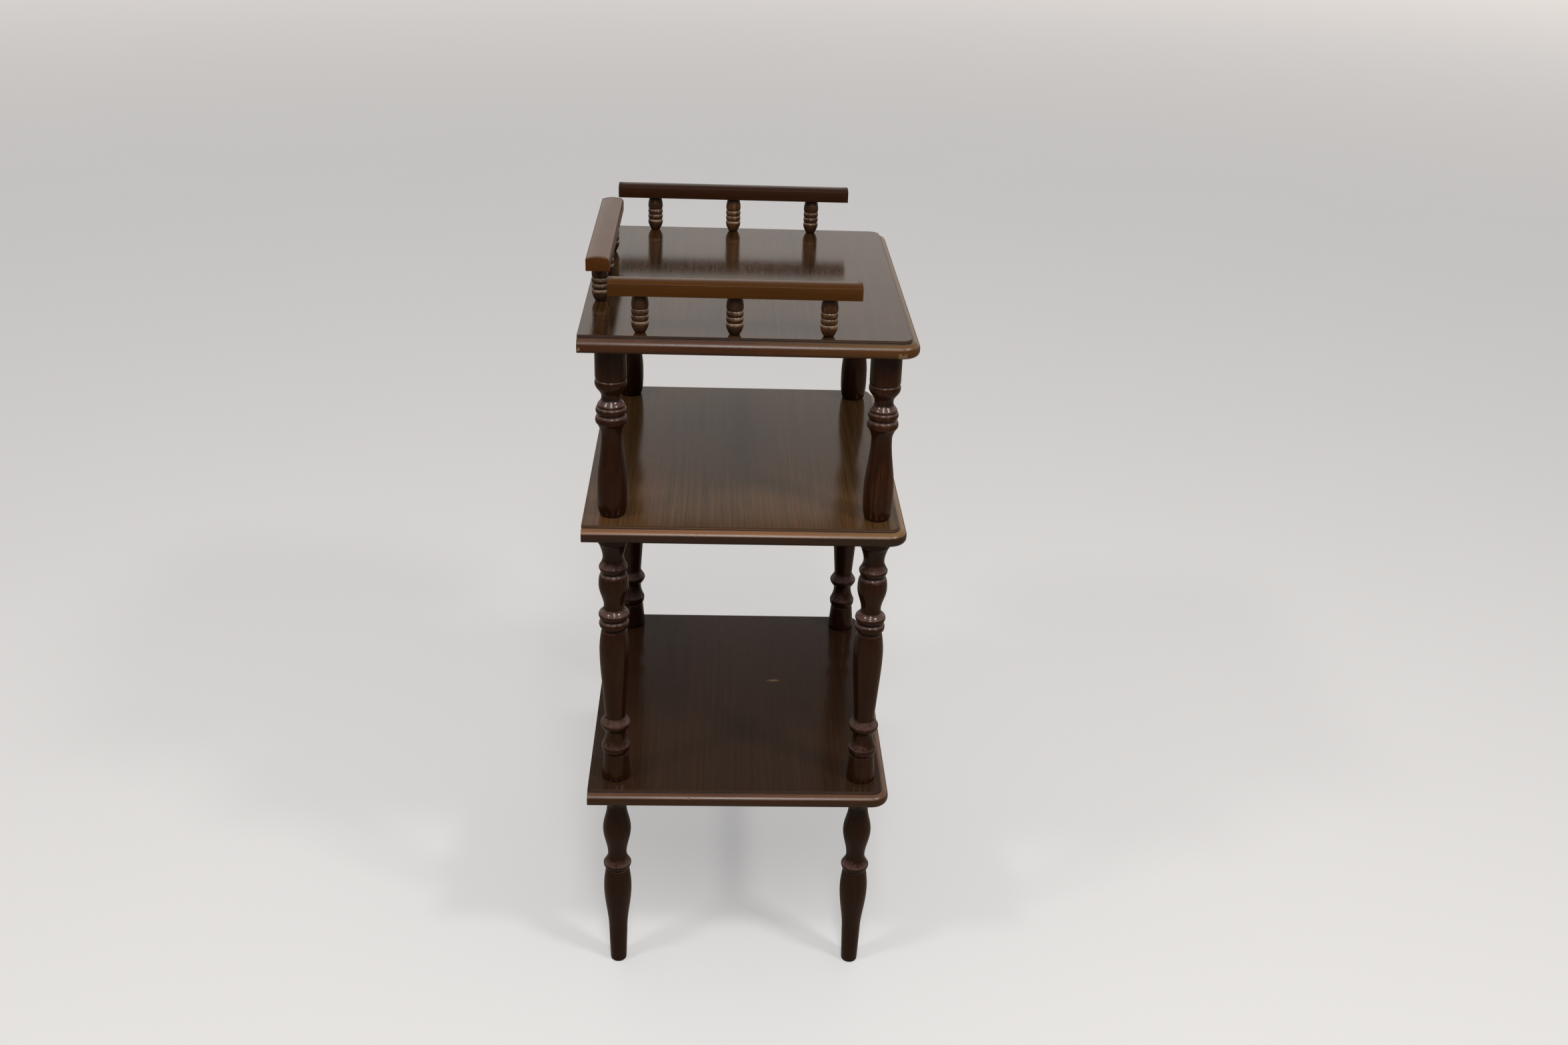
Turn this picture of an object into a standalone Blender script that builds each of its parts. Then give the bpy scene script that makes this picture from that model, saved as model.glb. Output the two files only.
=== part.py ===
"""Three-tier etagere: moulded shelves, turned columns and legs, and a low gallery on the top shelf.

Metres, +Z up. The origin is on the floor at the centre of the footprint. X runs along the shelves,
with -X the left end seen from the front. The front, with its rounded corners, faces -Y, and the
back, with its plain shelf edges, faces +Y.
"""

import math

import bmesh
import bpy
from mathutils import Matrix

# Shelves
SHELF_LENGTH = 0.378
SHELF_DEPTH = 0.300
SHELF_THICKNESS = 0.0150
SHELF_CORNER_RADIUS = 0.0175

# Moulded edge of a shelf: a square step, a ledge, a rounded nose and an eased lower arris
EDGE_STEP_DROP = 0.0028
EDGE_LEDGE_WIDTH = 0.0008
EDGE_NOSE_WIDTH = 0.0066
EDGE_NOSE_DROP = 0.0056
EDGE_ROUND_WIDTH = 0.0034
EDGE_ROUND_HEIGHT = 0.0044

# Turned posts, which stand one above another at the four corners
LEG_LENGTH = 0.2168
MIDDLE_COLUMN_LENGTH = 0.2744
UPPER_COLUMN_LENGTH = 0.1669
POST_RADIUS = 0.0147
POST_LEFT_INSET = 0.0343
POST_RIGHT_INSET = 0.0289
POST_SIDE_INSET = 0.0270

# Screw studs, which join the posts through the shelves
STUD_RADIUS = 0.0040
STUD_POINT_LENGTH = 0.0020
STUD_POINT_RADIUS = 0.0025
STUD_POST_REACH = 0.0220
STUD_TOP_SHELF_REACH = 0.0095

# Gallery: rails on short spindles along the back and the two ends of the top shelf
SPINDLE_HEIGHT = 0.0348
SPINDLE_RADIUS = 0.0078
SPINDLE_SPACING = 0.0823
PIN_RADIUS = 0.0030
PIN_LENGTH = 0.0080
RAIL_WIDTH = 0.0216
RAIL_SIDE_HEIGHT = 0.0110
RAIL_CROWN_HEIGHT = 0.0020
RAIL_ROUND_RADIUS = 0.0040
RAIL_OVERHANG = 0.0276
RIGHT_RAIL_OVERHANG = 0.0381
BACK_RAIL_INSET = 0.0135
SIDE_RAIL_INSET = 0.0176
SIDE_RAIL_SETBACK = 0.0542

# Clearances
SEAT_GAP = 0.0003
BORE_CLEARANCE = 0.0003
BORE_END_CLEARANCE = 0.0008
CUT_OVERRUN = 0.0010

# Faces round a turning, and steps along the curves of its outline
POST_SIDES = 12
SPINDLE_SIDES = 8
STUD_SIDES = 8
CORNER_STEPS = 4
EDGE_STEPS = 3
CROWN_STEPS = 5
ROUND_STEPS = 2
LINE_STEPS = 1
SWEEP_STEPS = 4
DOME_STEPS = 2
COVE_STEPS = 2
BELLY_STEPS = 2
FLARE_STEPS = 2
BEAD_STEPS = 3
CURVE_STEPS = {"line": LINE_STEPS, "sweep": SWEEP_STEPS, "dome": DOME_STEPS, "cove": COVE_STEPS,
               "belly": BELLY_STEPS, "flare": FLARE_STEPS, "bead": BEAD_STEPS}
BULGING = ("dome", "belly")
SLIM = ("belly", "flare")

# Outline of each turning, from its foot up. A row is the kind of curve, the share of the length at
# which it ends, the share of the radius there and, on a bead, the share of the radius that it
# stands out. A sweep leaves and arrives along the axis. A dome is a bulging quarter round and a cove
# a hollow one, and a belly and a flare are the slimmer kinds of the two.
LEG_FOOT_SHARE = 0.49
LEG_SHARES = (
    ("dome", 0.010, 0.57, 0),
    ("line", 0.180, 0.65, 0),
    ("sweep", 0.438, 0.97, 0),
    ("belly", 0.545, 0.82, 0),
    ("line", 0.549, 0.77, 0),
    ("line", 0.562, 0.92, 0),
    ("belly", 0.575, 0.97, 0),
    ("dome", 0.583, 0.93, 0),
    ("flare", 0.632, 0.65, 0),
    ("sweep", 0.775, 0.97, 0),
    ("sweep", 0.905, 0.67, 0),
    ("flare", 0.946, 0.90, 0),
    ("line", 0.952, 0.99, 0),
    ("line", 1.000, 0.99, 0),
)
MIDDLE_FOOT_SHARE = 0.90
MIDDLE_SHARES = (
    ("dome", 0.012, 0.98, 0),
    ("line", 0.100, 0.83, 0),
    ("line", 0.106, 0.78, 0),
    ("dome", 0.130, 0.95, 0),
    ("dome", 0.137, 0.92, 0),
    ("flare", 0.184, 0.68, 0),
    ("cove", 0.205, 0.82, 0),
    ("belly", 0.227, 1.00, 0),
    ("belly", 0.234, 0.96, 0),
    ("line", 0.256, 0.71, 0),
    ("flare", 0.264, 0.69, 0),
    ("line", 0.400, 0.87, 0),
    ("belly", 0.530, 0.99, 0),
    ("belly", 0.605, 0.85, 0),
    ("line", 0.615, 0.77, 0),
    ("line", 0.626, 0.95, 0),
    ("belly", 0.635, 0.98, 0),
    ("dome", 0.649, 0.86, 0),
    ("line", 0.652, 0.82, 0),
    ("line", 0.662, 0.96, 0),
    ("belly", 0.670, 1.00, 0),
    ("dome", 0.682, 0.88, 0),
    ("flare", 0.704, 0.65, 0),
    ("sweep", 0.788, 0.97, 0),
    ("dome", 0.831, 0.80, 0),
    ("line", 0.834, 0.75, 0),
    ("line", 0.846, 0.88, 0),
    ("belly", 0.855, 0.93, 0),
    ("dome", 0.861, 0.90, 0),
    ("flare", 0.894, 0.68, 0),
    ("flare", 0.946, 0.91, 0),
    ("line", 0.952, 0.99, 0),
    ("line", 1.000, 0.99, 0),
)
UPPER_FOOT_SHARE = 0.74
UPPER_SHARES = (
    ("dome", 0.130, 0.96, 0),
    ("line", 0.165, 0.96, 0),
    ("sweep", 0.478, 0.65, 0),
    ("flare", 0.538, 0.86, 0),
    ("belly", 0.558, 0.99, 0),
    ("dome", 0.590, 0.86, 0),
    ("line", 0.594, 0.79, 0),
    ("line", 0.602, 0.90, 0),
    ("belly", 0.616, 0.96, 0),
    ("dome", 0.637, 0.87, 0),
    ("line", 0.640, 0.84, 0),
    ("line", 0.644, 0.86, 0),
    ("belly", 0.668, 0.70, 0),
    ("flare", 0.688, 0.59, 0),
    ("line", 0.700, 0.59, 0),
    ("flare", 0.728, 0.72, 0),
    ("line", 0.740, 0.83, 0),
    ("belly", 0.772, 0.99, 0),
    ("dome", 0.794, 0.94, 0),
    ("line", 0.797, 0.90, 0),
    ("line", 0.801, 0.95, 0),
    ("line", 0.810, 0.97, 0),
    ("line", 1.000, 0.97, 0),
)
SPINDLE_FOOT_SHARE = 0.77
SPINDLE_SHARES = (
    ("line", 0.080, 0.86, 0),
    ("belly", 0.230, 0.99, 0),
    ("dome", 0.318, 0.85, 0),
    ("bead", 0.475, 0.85, 0.15),
    ("bead", 0.635, 0.85, 0.15),
    ("dome", 0.715, 0.98, 0),
    ("belly", 1.000, 0.76, 0),
)

# Colour, roughness and metallic value of each finish
FINISHES = {
    "shelf_veneer": ((0.060, 0.034, 0.024, 1), 0.32, 0),
    "post_stain": ((0.050, 0.017, 0.010, 1), 0.28, 0),
    "rail_stain": ((0.120, 0.045, 0.016, 1), 0.34, 0),
    "spindle_stain": ((0.075, 0.030, 0.015, 1), 0.30, 0),
    "stud_steel": ((0.560, 0.570, 0.580, 1), 0.38, 1),
}

# Heights, from the floor up
BOTTOM_SHELF_BASE = LEG_LENGTH + SEAT_GAP
MIDDLE_COLUMN_BASE = BOTTOM_SHELF_BASE + SHELF_THICKNESS + SEAT_GAP
MIDDLE_SHELF_BASE = MIDDLE_COLUMN_BASE + MIDDLE_COLUMN_LENGTH + SEAT_GAP
UPPER_COLUMN_BASE = MIDDLE_SHELF_BASE + SHELF_THICKNESS + SEAT_GAP
TOP_SHELF_BASE = UPPER_COLUMN_BASE + UPPER_COLUMN_LENGTH + SEAT_GAP
TOP_SHELF_TOP = TOP_SHELF_BASE + SHELF_THICKNESS
SPINDLE_BASE = TOP_SHELF_TOP + SEAT_GAP
RAIL_BASE = SPINDLE_BASE + SPINDLE_HEIGHT + SEAT_GAP

# Places in plan
LEFT_POST_X = POST_LEFT_INSET - SHELF_LENGTH / 2
RIGHT_POST_X = SHELF_LENGTH / 2 - POST_RIGHT_INSET
POST_Y = SHELF_DEPTH / 2 - POST_SIDE_INSET
POST_PLACES = {
    "front_left": (LEFT_POST_X, -POST_Y),
    "front_right": (RIGHT_POST_X, -POST_Y),
    "back_left": (LEFT_POST_X, POST_Y),
    "back_right": (RIGHT_POST_X, POST_Y),
}
SIDE_RAIL_X = SHELF_LENGTH / 2 - SIDE_RAIL_INSET
SIDE_RAIL_Y = SHELF_DEPTH / 2 - SIDE_RAIL_SETBACK - SPINDLE_SPACING
BACK_RAIL_Y = SHELF_DEPTH / 2 - BACK_RAIL_INSET

# Bores
STUD_BORE_RADIUS = STUD_RADIUS + BORE_CLEARANCE
STUD_BORE_DEPTH = STUD_POST_REACH + BORE_END_CLEARANCE
PIN_BORE_RADIUS = PIN_RADIUS + BORE_CLEARANCE
PIN_BORE_DEPTH = PIN_LENGTH + BORE_END_CLEARANCE


def clear_scene():
    """Remove every object that the file already holds."""
    for item in list(bpy.data.objects):
        bpy.data.objects.remove(item)


def finish(name):
    """Return the named finish as a Principled material."""
    material = bpy.data.materials.get(name)
    if material:
        return material
    colour, roughness, metallic = FINISHES[name]
    material = bpy.data.materials.new(name)
    material.use_nodes = True
    shader = material.node_tree.nodes["Principled BSDF"]
    shader.inputs["Base Color"].default_value = colour
    shader.inputs["Roughness"].default_value = roughness
    shader.inputs["Metallic"].default_value = metallic
    material.diffuse_color = colour
    return material


def mesh_from(form, name, smooth_angle=35):
    """Turn a finished bmesh into a mesh, with its faces out and its round parts smooth."""
    bmesh.ops.recalc_face_normals(form, faces=form.faces)
    mesh = bpy.data.meshes.new(name)
    form.to_mesh(mesh)
    form.free()
    mesh.shade_smooth()
    mesh.set_sharp_from_angle(angle=math.radians(smooth_angle))
    return mesh


def add_piece(name, mesh, finish_name, place=(0, 0, 0), turn=0):
    """Add one named piece at its place, turned about Z, with its own finish slot."""
    piece = bpy.data.objects.new(name, mesh)
    bpy.context.collection.objects.link(piece)
    piece.location = place
    piece.rotation_euler = (0, 0, turn)
    if not mesh.materials:
        mesh.materials.append(finish(finish_name))
    return piece


def curve_shares(kind, way, widening):
    """Return the shares of a curve's radius and height change at a share of the way along it."""
    rising = math.sin(way * math.pi / 2)
    falling = 1 - math.cos(way * math.pi / 2)
    eased = (1 - math.cos(way * math.pi)) / 2
    if kind == "line":
        return way, way
    if kind == "sweep":
        return eased, way
    if kind == "bead":
        return eased, eased
    across, along = (rising, falling) if (kind in BULGING) == widening else (falling, rising)
    return across, way if kind in SLIM else along


def curve_points(kind, start, end, stand_out):
    """Return the points after start, up to end, of one curve of a turned outline."""
    (start_radius, start_height), (end_radius, end_height) = start, end
    points = []
    for step in range(1, CURVE_STEPS[kind] + 1):
        way = step / CURVE_STEPS[kind]
        radius_share, height_share = curve_shares(kind, way, end_radius > start_radius)
        radius = start_radius + (end_radius - start_radius) * radius_share
        height = start_height + (end_height - start_height) * height_share
        points.append((radius + stand_out * math.sin(way * math.pi), height))
    return points


def turned_outline(foot_share, rows, length, radius):
    """Return the outer line of a turning, from its foot to its head, as radius and height."""
    points = [(foot_share * radius, 0)]
    for kind, height_share, radius_share, stand_out_share in rows:
        end = (radius_share * radius, height_share * length)
        points += curve_points(kind, points[-1], end, stand_out_share * radius)
    return points


def turned_mesh(name, outline, sides):
    """Turn a line of radius and height points, which starts and ends on the axis, about Z.

    The spin leaves a copy of each axis point at every step, and those copies are merged.
    """
    form = bmesh.new()
    line = [form.verts.new((radius, 0, height)) for radius, height in outline]
    edges = [form.edges.new(pair) for pair in zip(line, line[1:])]
    bmesh.ops.spin(form, geom=line + edges, cent=(0, 0, 0), axis=(0, 0, 1),
                   angle=math.tau, steps=sides, use_merge=True)
    bmesh.ops.remove_doubles(form, verts=form.verts, dist=SEAT_GAP / 10)
    return mesh_from(form, name)


def bored_post_outline(foot_share, rows, length, foot_bore_depth):
    """Return a post's full line, with a stud bore in its head and one of the given depth below."""
    line = turned_outline(foot_share, rows, length, POST_RADIUS)
    foot = [(0, 0)]
    if foot_bore_depth:
        foot = [(0, foot_bore_depth), (STUD_BORE_RADIUS, foot_bore_depth), (STUD_BORE_RADIUS, 0)]
    bore_floor = length - STUD_BORE_DEPTH
    head = [(STUD_BORE_RADIUS, length), (STUD_BORE_RADIUS, bore_floor), (0, bore_floor)]
    return foot + line + head


def add_posts(kind, foot_share, rows, length, base, foot_bore_depth):
    """Stand four like posts at the corners, one for each place."""
    outline = bored_post_outline(foot_share, rows, length, foot_bore_depth)
    mesh = turned_mesh(kind, outline, POST_SIDES)
    for corner, (x, y) in POST_PLACES.items():
        add_piece(f"{kind}_{corner}", mesh, "post_stain", (x, y, base))


def edge_lines():
    """Return the inset and height of each line of a shelf's moulded edge, from its top face down."""
    step_inset = EDGE_LEDGE_WIDTH + EDGE_NOSE_WIDTH
    ledge_height = SHELF_THICKNESS - EDGE_STEP_DROP
    nose_foot = ledge_height - EDGE_NOSE_DROP
    lines = [(step_inset, SHELF_THICKNESS), (step_inset, ledge_height)]
    for step in range(EDGE_STEPS + 1):
        angle = step / EDGE_STEPS * math.pi / 2
        inset = EDGE_NOSE_WIDTH * (1 - math.sin(angle))
        lines.append((inset, nose_foot + EDGE_NOSE_DROP * math.cos(angle)))
    for step in range(EDGE_STEPS + 1):
        angle = step / EDGE_STEPS * math.pi / 2
        inset = EDGE_ROUND_WIDTH * (1 - math.cos(angle))
        lines.append((inset, EDGE_ROUND_HEIGHT * (1 - math.sin(angle))))
    return lines


def shelf_line(form, inset, height):
    """Add one line round a shelf's left end, front and right end, at an inset and a height."""
    half_length = SHELF_LENGTH / 2
    half_depth = SHELF_DEPTH / 2
    radius = SHELF_CORNER_RADIUS - inset
    centre_x = half_length - SHELF_CORNER_RADIUS
    centre_y = SHELF_CORNER_RADIUS - half_depth
    line = [form.verts.new((inset - half_length, half_depth, height))]
    for side, first_angle in ((-1, math.pi), (1, math.pi * 3 / 2)):
        for step in range(CORNER_STEPS + 1):
            angle = first_angle + step / CORNER_STEPS * math.pi / 2
            x = side * centre_x + radius * math.cos(angle)
            y = centre_y + radius * math.sin(angle)
            line.append(form.verts.new((x, y, height)))
    line.append(form.verts.new((half_length - inset, half_depth, height)))
    return line


def shelf_mesh(name):
    """Make one shelf board: moulded on its ends and front, plain and square along its back."""
    form = bmesh.new()
    lines = [shelf_line(form, inset, height) for inset, height in edge_lines()]
    for upper, lower in zip(lines, lines[1:]):
        for index in range(len(upper) - 1):
            form.faces.new((upper[index], upper[index + 1], lower[index + 1], lower[index]))
    form.faces.new(lines[0])
    form.faces.new(reversed(lines[-1]))
    left_end = [line[0] for line in lines]
    right_end = [line[-1] for line in lines]
    form.faces.new(left_end + right_end[::-1])
    return mesh_from(form, name)


def cutter_of(name, bores, sides):
    """Make one hidden cutter of upright cylinders, each as x, y, foot, head and radius."""
    form = bmesh.new()
    for x, y, foot, head, radius in bores:
        place = Matrix.Translation((x, y, (foot + head) / 2))
        bmesh.ops.create_cone(form, cap_ends=True, segments=sides, radius1=radius,
                              radius2=radius, depth=head - foot, matrix=place)
    cutter = bpy.data.objects.new(name, mesh_from(form, name))
    bpy.context.collection.objects.link(cutter)
    cutter.hide_render = True
    cutter.display_type = "WIRE"
    return cutter


def cut(piece, cutter):
    """Cut the cutter's cylinders out of a piece."""
    modifier = piece.modifiers.new("bores", "BOOLEAN")
    modifier.operation = "DIFFERENCE"
    modifier.solver = "EXACT"
    modifier.object = cutter


def add_shelf(name, base, bores):
    """Place one shelf with its underside at base and drill it; bore heights are above the floor."""
    shelf = add_piece(name, shelf_mesh(name), "shelf_veneer", (0, 0, base))
    cut(shelf, cutter_of(f"{name}_drill", bores, STUD_SIDES))


def through_bores(base):
    """Return the four stud holes that pass right through the shelf at base."""
    foot = base - CUT_OVERRUN
    head = base + SHELF_THICKNESS + CUT_OVERRUN
    return [(x, y, foot, head, STUD_BORE_RADIUS) for x, y in POST_PLACES.values()]


def top_shelf_bores():
    """Return the blind holes for the upper studs, below, and for the spindles' pins, above."""
    foot = TOP_SHELF_BASE - CUT_OVERRUN
    head = TOP_SHELF_BASE + STUD_TOP_SHELF_REACH + BORE_END_CLEARANCE
    bores = [(x, y, foot, head, STUD_BORE_RADIUS) for x, y in POST_PLACES.values()]
    pin_floor = TOP_SHELF_TOP - PIN_BORE_DEPTH
    for _, rail_x, rail_y, turn, _ in rail_places():
        for x, y in spindle_places(rail_x, rail_y, turn):
            bores.append((x, y, pin_floor, TOP_SHELF_TOP + CUT_OVERRUN, PIN_BORE_RADIUS))
    return bores


def add_studs(kind, foot, head):
    """Add four like studs from foot to head, one at each corner."""
    length = head - foot
    shank_head = length - STUD_POINT_LENGTH
    outline = [(0, 0), (STUD_POINT_RADIUS, 0), (STUD_RADIUS, STUD_POINT_LENGTH),
               (STUD_RADIUS, shank_head), (STUD_POINT_RADIUS, length), (0, length)]
    mesh = turned_mesh(kind, outline, STUD_SIDES)
    for corner, (x, y) in POST_PLACES.items():
        add_piece(f"{kind}_{corner}", mesh, "stud_steel", (x, y, foot))


def rail_places():
    """Return the name, place, turn and overhang of each rail."""
    return (
        ("left_rail", -SIDE_RAIL_X, SIDE_RAIL_Y, math.pi / 2, RAIL_OVERHANG),
        ("right_rail", SIDE_RAIL_X, SIDE_RAIL_Y, math.pi / 2, RIGHT_RAIL_OVERHANG),
        ("back_rail", 0, BACK_RAIL_Y, 0, RAIL_OVERHANG),
    )


def spindle_places(rail_x, rail_y, turn):
    """Return the places of the three spindles below one rail."""
    along_x = math.cos(turn) * SPINDLE_SPACING
    along_y = math.sin(turn) * SPINDLE_SPACING
    return [(rail_x + step * along_x, rail_y + step * along_y) for step in (-1, 0, 1)]


def rail_section():
    """Return a rail's section as across and up: square at +Y, crowned on top, rounded over at -Y."""
    half_width = RAIL_WIDTH / 2
    round_start = RAIL_ROUND_RADIUS - half_width
    section = [(-half_width, 0), (half_width, 0)]
    for step in range(CROWN_STEPS + 1):
        across = half_width + (round_start - half_width) * step / CROWN_STEPS
        crown = RAIL_CROWN_HEIGHT * (1 - (across / half_width) ** 2)
        section.append((across, RAIL_SIDE_HEIGHT + crown))
    round_head = section[-1][1]
    for step in range(1, ROUND_STEPS + 1):
        angle = step / ROUND_STEPS * math.pi / 2
        across = round_start - RAIL_ROUND_RADIUS * math.sin(angle)
        section.append((across, round_head - RAIL_ROUND_RADIUS * (1 - math.cos(angle))))
    return section


def rail_mesh(name, overhang):
    """Make one rail along X, reaching past its outer spindles by the overhang."""
    form = bmesh.new()
    half_length = SPINDLE_SPACING + overhang
    end = form.faces.new([form.verts.new((-half_length, y, z)) for y, z in rail_section()])
    extruded = bmesh.ops.extrude_face_region(form, geom=[end])["geom"]
    moved = [item for item in extruded if isinstance(item, bmesh.types.BMVert)]
    bmesh.ops.translate(form, verts=moved, vec=(2 * half_length, 0, 0))
    return mesh_from(form, name)


def add_gallery():
    """Stand three spindles below each rail and set the rail on their pins."""
    line = turned_outline(SPINDLE_FOOT_SHARE, SPINDLE_SHARES, SPINDLE_HEIGHT, SPINDLE_RADIUS)
    foot_pin = [(0, -PIN_LENGTH), (PIN_RADIUS, -PIN_LENGTH), (PIN_RADIUS, 0)]
    head_pin_top = SPINDLE_HEIGHT + PIN_LENGTH
    head_pin = [(PIN_RADIUS, SPINDLE_HEIGHT), (PIN_RADIUS, head_pin_top), (0, head_pin_top)]
    spindle = turned_mesh("spindle", foot_pin + line + head_pin, SPINDLE_SIDES)
    for name, rail_x, rail_y, turn, overhang in rail_places():
        rail = add_piece(name, rail_mesh(name, overhang), "rail_stain", (rail_x, rail_y, RAIL_BASE), turn)
        bores = []
        for number, (x, y) in enumerate(spindle_places(rail_x, rail_y, turn), start=1):
            add_piece(f"{name}_spindle_{number}", spindle, "spindle_stain", (x, y, SPINDLE_BASE))
            bore_head = RAIL_BASE + PIN_BORE_DEPTH
            bores.append((x, y, RAIL_BASE - CUT_OVERRUN, bore_head, PIN_BORE_RADIUS))
        cut(rail, cutter_of(f"{name}_drill", bores, SPINDLE_SIDES))


def build():
    """Build the whole etagere, from the floor up."""
    clear_scene()
    add_posts("leg", LEG_FOOT_SHARE, LEG_SHARES, LEG_LENGTH, 0, 0)
    add_shelf("bottom_shelf", BOTTOM_SHELF_BASE, through_bores(BOTTOM_SHELF_BASE))
    add_studs("bottom_stud", LEG_LENGTH - STUD_POST_REACH, MIDDLE_COLUMN_BASE + STUD_POST_REACH)
    add_posts("middle_column", MIDDLE_FOOT_SHARE, MIDDLE_SHARES, MIDDLE_COLUMN_LENGTH,
              MIDDLE_COLUMN_BASE, STUD_BORE_DEPTH)
    add_shelf("middle_shelf", MIDDLE_SHELF_BASE, through_bores(MIDDLE_SHELF_BASE))
    middle_head = MIDDLE_COLUMN_BASE + MIDDLE_COLUMN_LENGTH
    add_studs("middle_stud", middle_head - STUD_POST_REACH, UPPER_COLUMN_BASE + STUD_POST_REACH)
    add_posts("upper_column", UPPER_FOOT_SHARE, UPPER_SHARES, UPPER_COLUMN_LENGTH,
              UPPER_COLUMN_BASE, STUD_BORE_DEPTH)
    add_shelf("top_shelf", TOP_SHELF_BASE, top_shelf_bores())
    upper_head = UPPER_COLUMN_BASE + UPPER_COLUMN_LENGTH
    add_studs("top_stud", upper_head - STUD_POST_REACH, TOP_SHELF_BASE + STUD_TOP_SHELF_REACH)
    add_gallery()


build()
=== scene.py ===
"""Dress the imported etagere: fine mouldings and turnings, stained and lacquered wood, and a studio.

Metres, +Z up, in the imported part's frame. X runs along the shelves, the front faces -Y, and the
shelves' plain edges face +Y. Each piece here stands for the CAD node of the same name.
"""

import math

import bpy
import numpy as np
from bpy.props import FloatProperty, FloatVectorProperty, PointerProperty
from mathutils import Matrix, Vector, noise


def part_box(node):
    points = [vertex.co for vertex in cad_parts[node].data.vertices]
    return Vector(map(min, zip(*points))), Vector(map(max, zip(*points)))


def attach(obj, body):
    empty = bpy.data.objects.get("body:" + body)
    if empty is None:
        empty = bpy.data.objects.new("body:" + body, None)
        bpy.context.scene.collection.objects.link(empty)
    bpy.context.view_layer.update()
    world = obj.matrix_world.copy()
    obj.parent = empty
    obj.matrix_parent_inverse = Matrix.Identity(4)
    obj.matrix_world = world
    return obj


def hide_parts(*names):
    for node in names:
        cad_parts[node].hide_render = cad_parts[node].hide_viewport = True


bl_info = {
    "name": "Etagere",
    "version": (1, 0, 0),
    "blender": (4, 5, 0),
    "location": "View3D > Sidebar > Etagere",
    "description": "Builds an etagere's fine mouldings, turnings and finishes on its packed frame",
    "category": "Add Mesh",
}

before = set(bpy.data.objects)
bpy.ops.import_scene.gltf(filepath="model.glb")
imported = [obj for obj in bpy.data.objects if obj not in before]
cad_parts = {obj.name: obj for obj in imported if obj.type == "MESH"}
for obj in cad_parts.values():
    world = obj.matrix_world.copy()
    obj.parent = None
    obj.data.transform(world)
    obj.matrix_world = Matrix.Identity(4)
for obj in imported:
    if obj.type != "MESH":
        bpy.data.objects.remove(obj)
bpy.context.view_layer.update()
MM = 0.001

CORNERS = ("front_left", "front_right", "back_left", "back_right")
RAILS = ("left_rail", "right_rail", "back_rail")
SHELVES = ("bottom_shelf", "middle_shelf", "top_shelf")
SPINDLES = {rail: [f"{rail}_spindle_{number}" for number in (1, 2, 3)] for rail in RAILS}


def node_size(node):
    """Return a CAD node's length, depth and height."""
    low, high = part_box(node)
    return high - low


def node_middle(node):
    """Return the middle of a CAD node's box."""
    low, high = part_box(node)
    return (low + high) / 2


BOARD = node_size("top_shelf")
POST_GIRTH = node_size("middle_column_front_left").x
RAIL_GIRTH = node_size("back_rail")
RAIL_CROWN = 2.0 * MM
# How much a pin's hole is larger in radius, how much a hole is deeper than what it holds, and how
# far a drill stands out of the face that it enters
PIN_CLEARANCE = 0.3 * MM
BORE_OVERRUN = 0.8 * MM
DRILL_OVERRUN = 1.0 * MM

# Outline of each turning, from its foot up. A row is the kind of curve, the share of the length at
# which it ends and the share of the radius there. A sweep leaves and arrives along the axis. A dome
# is a bulging quarter round and a cove a hollow one, and a belly and a flare are the slimmer kinds
# of the two.
LEG_FOOT = 0.49
LEG_ROWS = (
    ("dome", 0.010, 0.57),
    ("line", 0.180, 0.65),
    ("sweep", 0.438, 0.97),
    ("belly", 0.545, 0.82),
    ("line", 0.549, 0.77),
    ("line", 0.562, 0.92),
    ("belly", 0.575, 0.97),
    ("dome", 0.583, 0.93),
    ("flare", 0.632, 0.65),
    ("sweep", 0.775, 0.97),
    ("sweep", 0.905, 0.67),
    ("flare", 0.946, 0.90),
    ("line", 0.952, 0.99),
    ("line", 1.000, 0.99),
)
MIDDLE_FOOT = 0.90
MIDDLE_ROWS = (
    ("dome", 0.012, 0.98),
    ("line", 0.100, 0.83),
    ("line", 0.106, 0.78),
    ("dome", 0.130, 0.95),
    ("dome", 0.137, 0.92),
    ("flare", 0.184, 0.68),
    ("cove", 0.205, 0.82),
    ("belly", 0.227, 1.00),
    ("belly", 0.234, 0.96),
    ("line", 0.256, 0.71),
    ("flare", 0.264, 0.69),
    ("line", 0.400, 0.87),
    ("belly", 0.530, 0.99),
    ("belly", 0.605, 0.85),
    ("line", 0.615, 0.77),
    ("line", 0.626, 0.95),
    ("belly", 0.635, 0.98),
    ("dome", 0.649, 0.86),
    ("line", 0.652, 0.82),
    ("line", 0.662, 0.96),
    ("belly", 0.670, 1.00),
    ("dome", 0.682, 0.88),
    ("flare", 0.704, 0.65),
    ("sweep", 0.788, 0.97),
    ("dome", 0.831, 0.80),
    ("line", 0.834, 0.75),
    ("line", 0.846, 0.88),
    ("belly", 0.855, 0.93),
    ("dome", 0.861, 0.90),
    ("flare", 0.894, 0.68),
    ("flare", 0.946, 0.91),
    ("line", 0.952, 0.99),
    ("line", 1.000, 0.99),
)
UPPER_FOOT = 0.74
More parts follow.
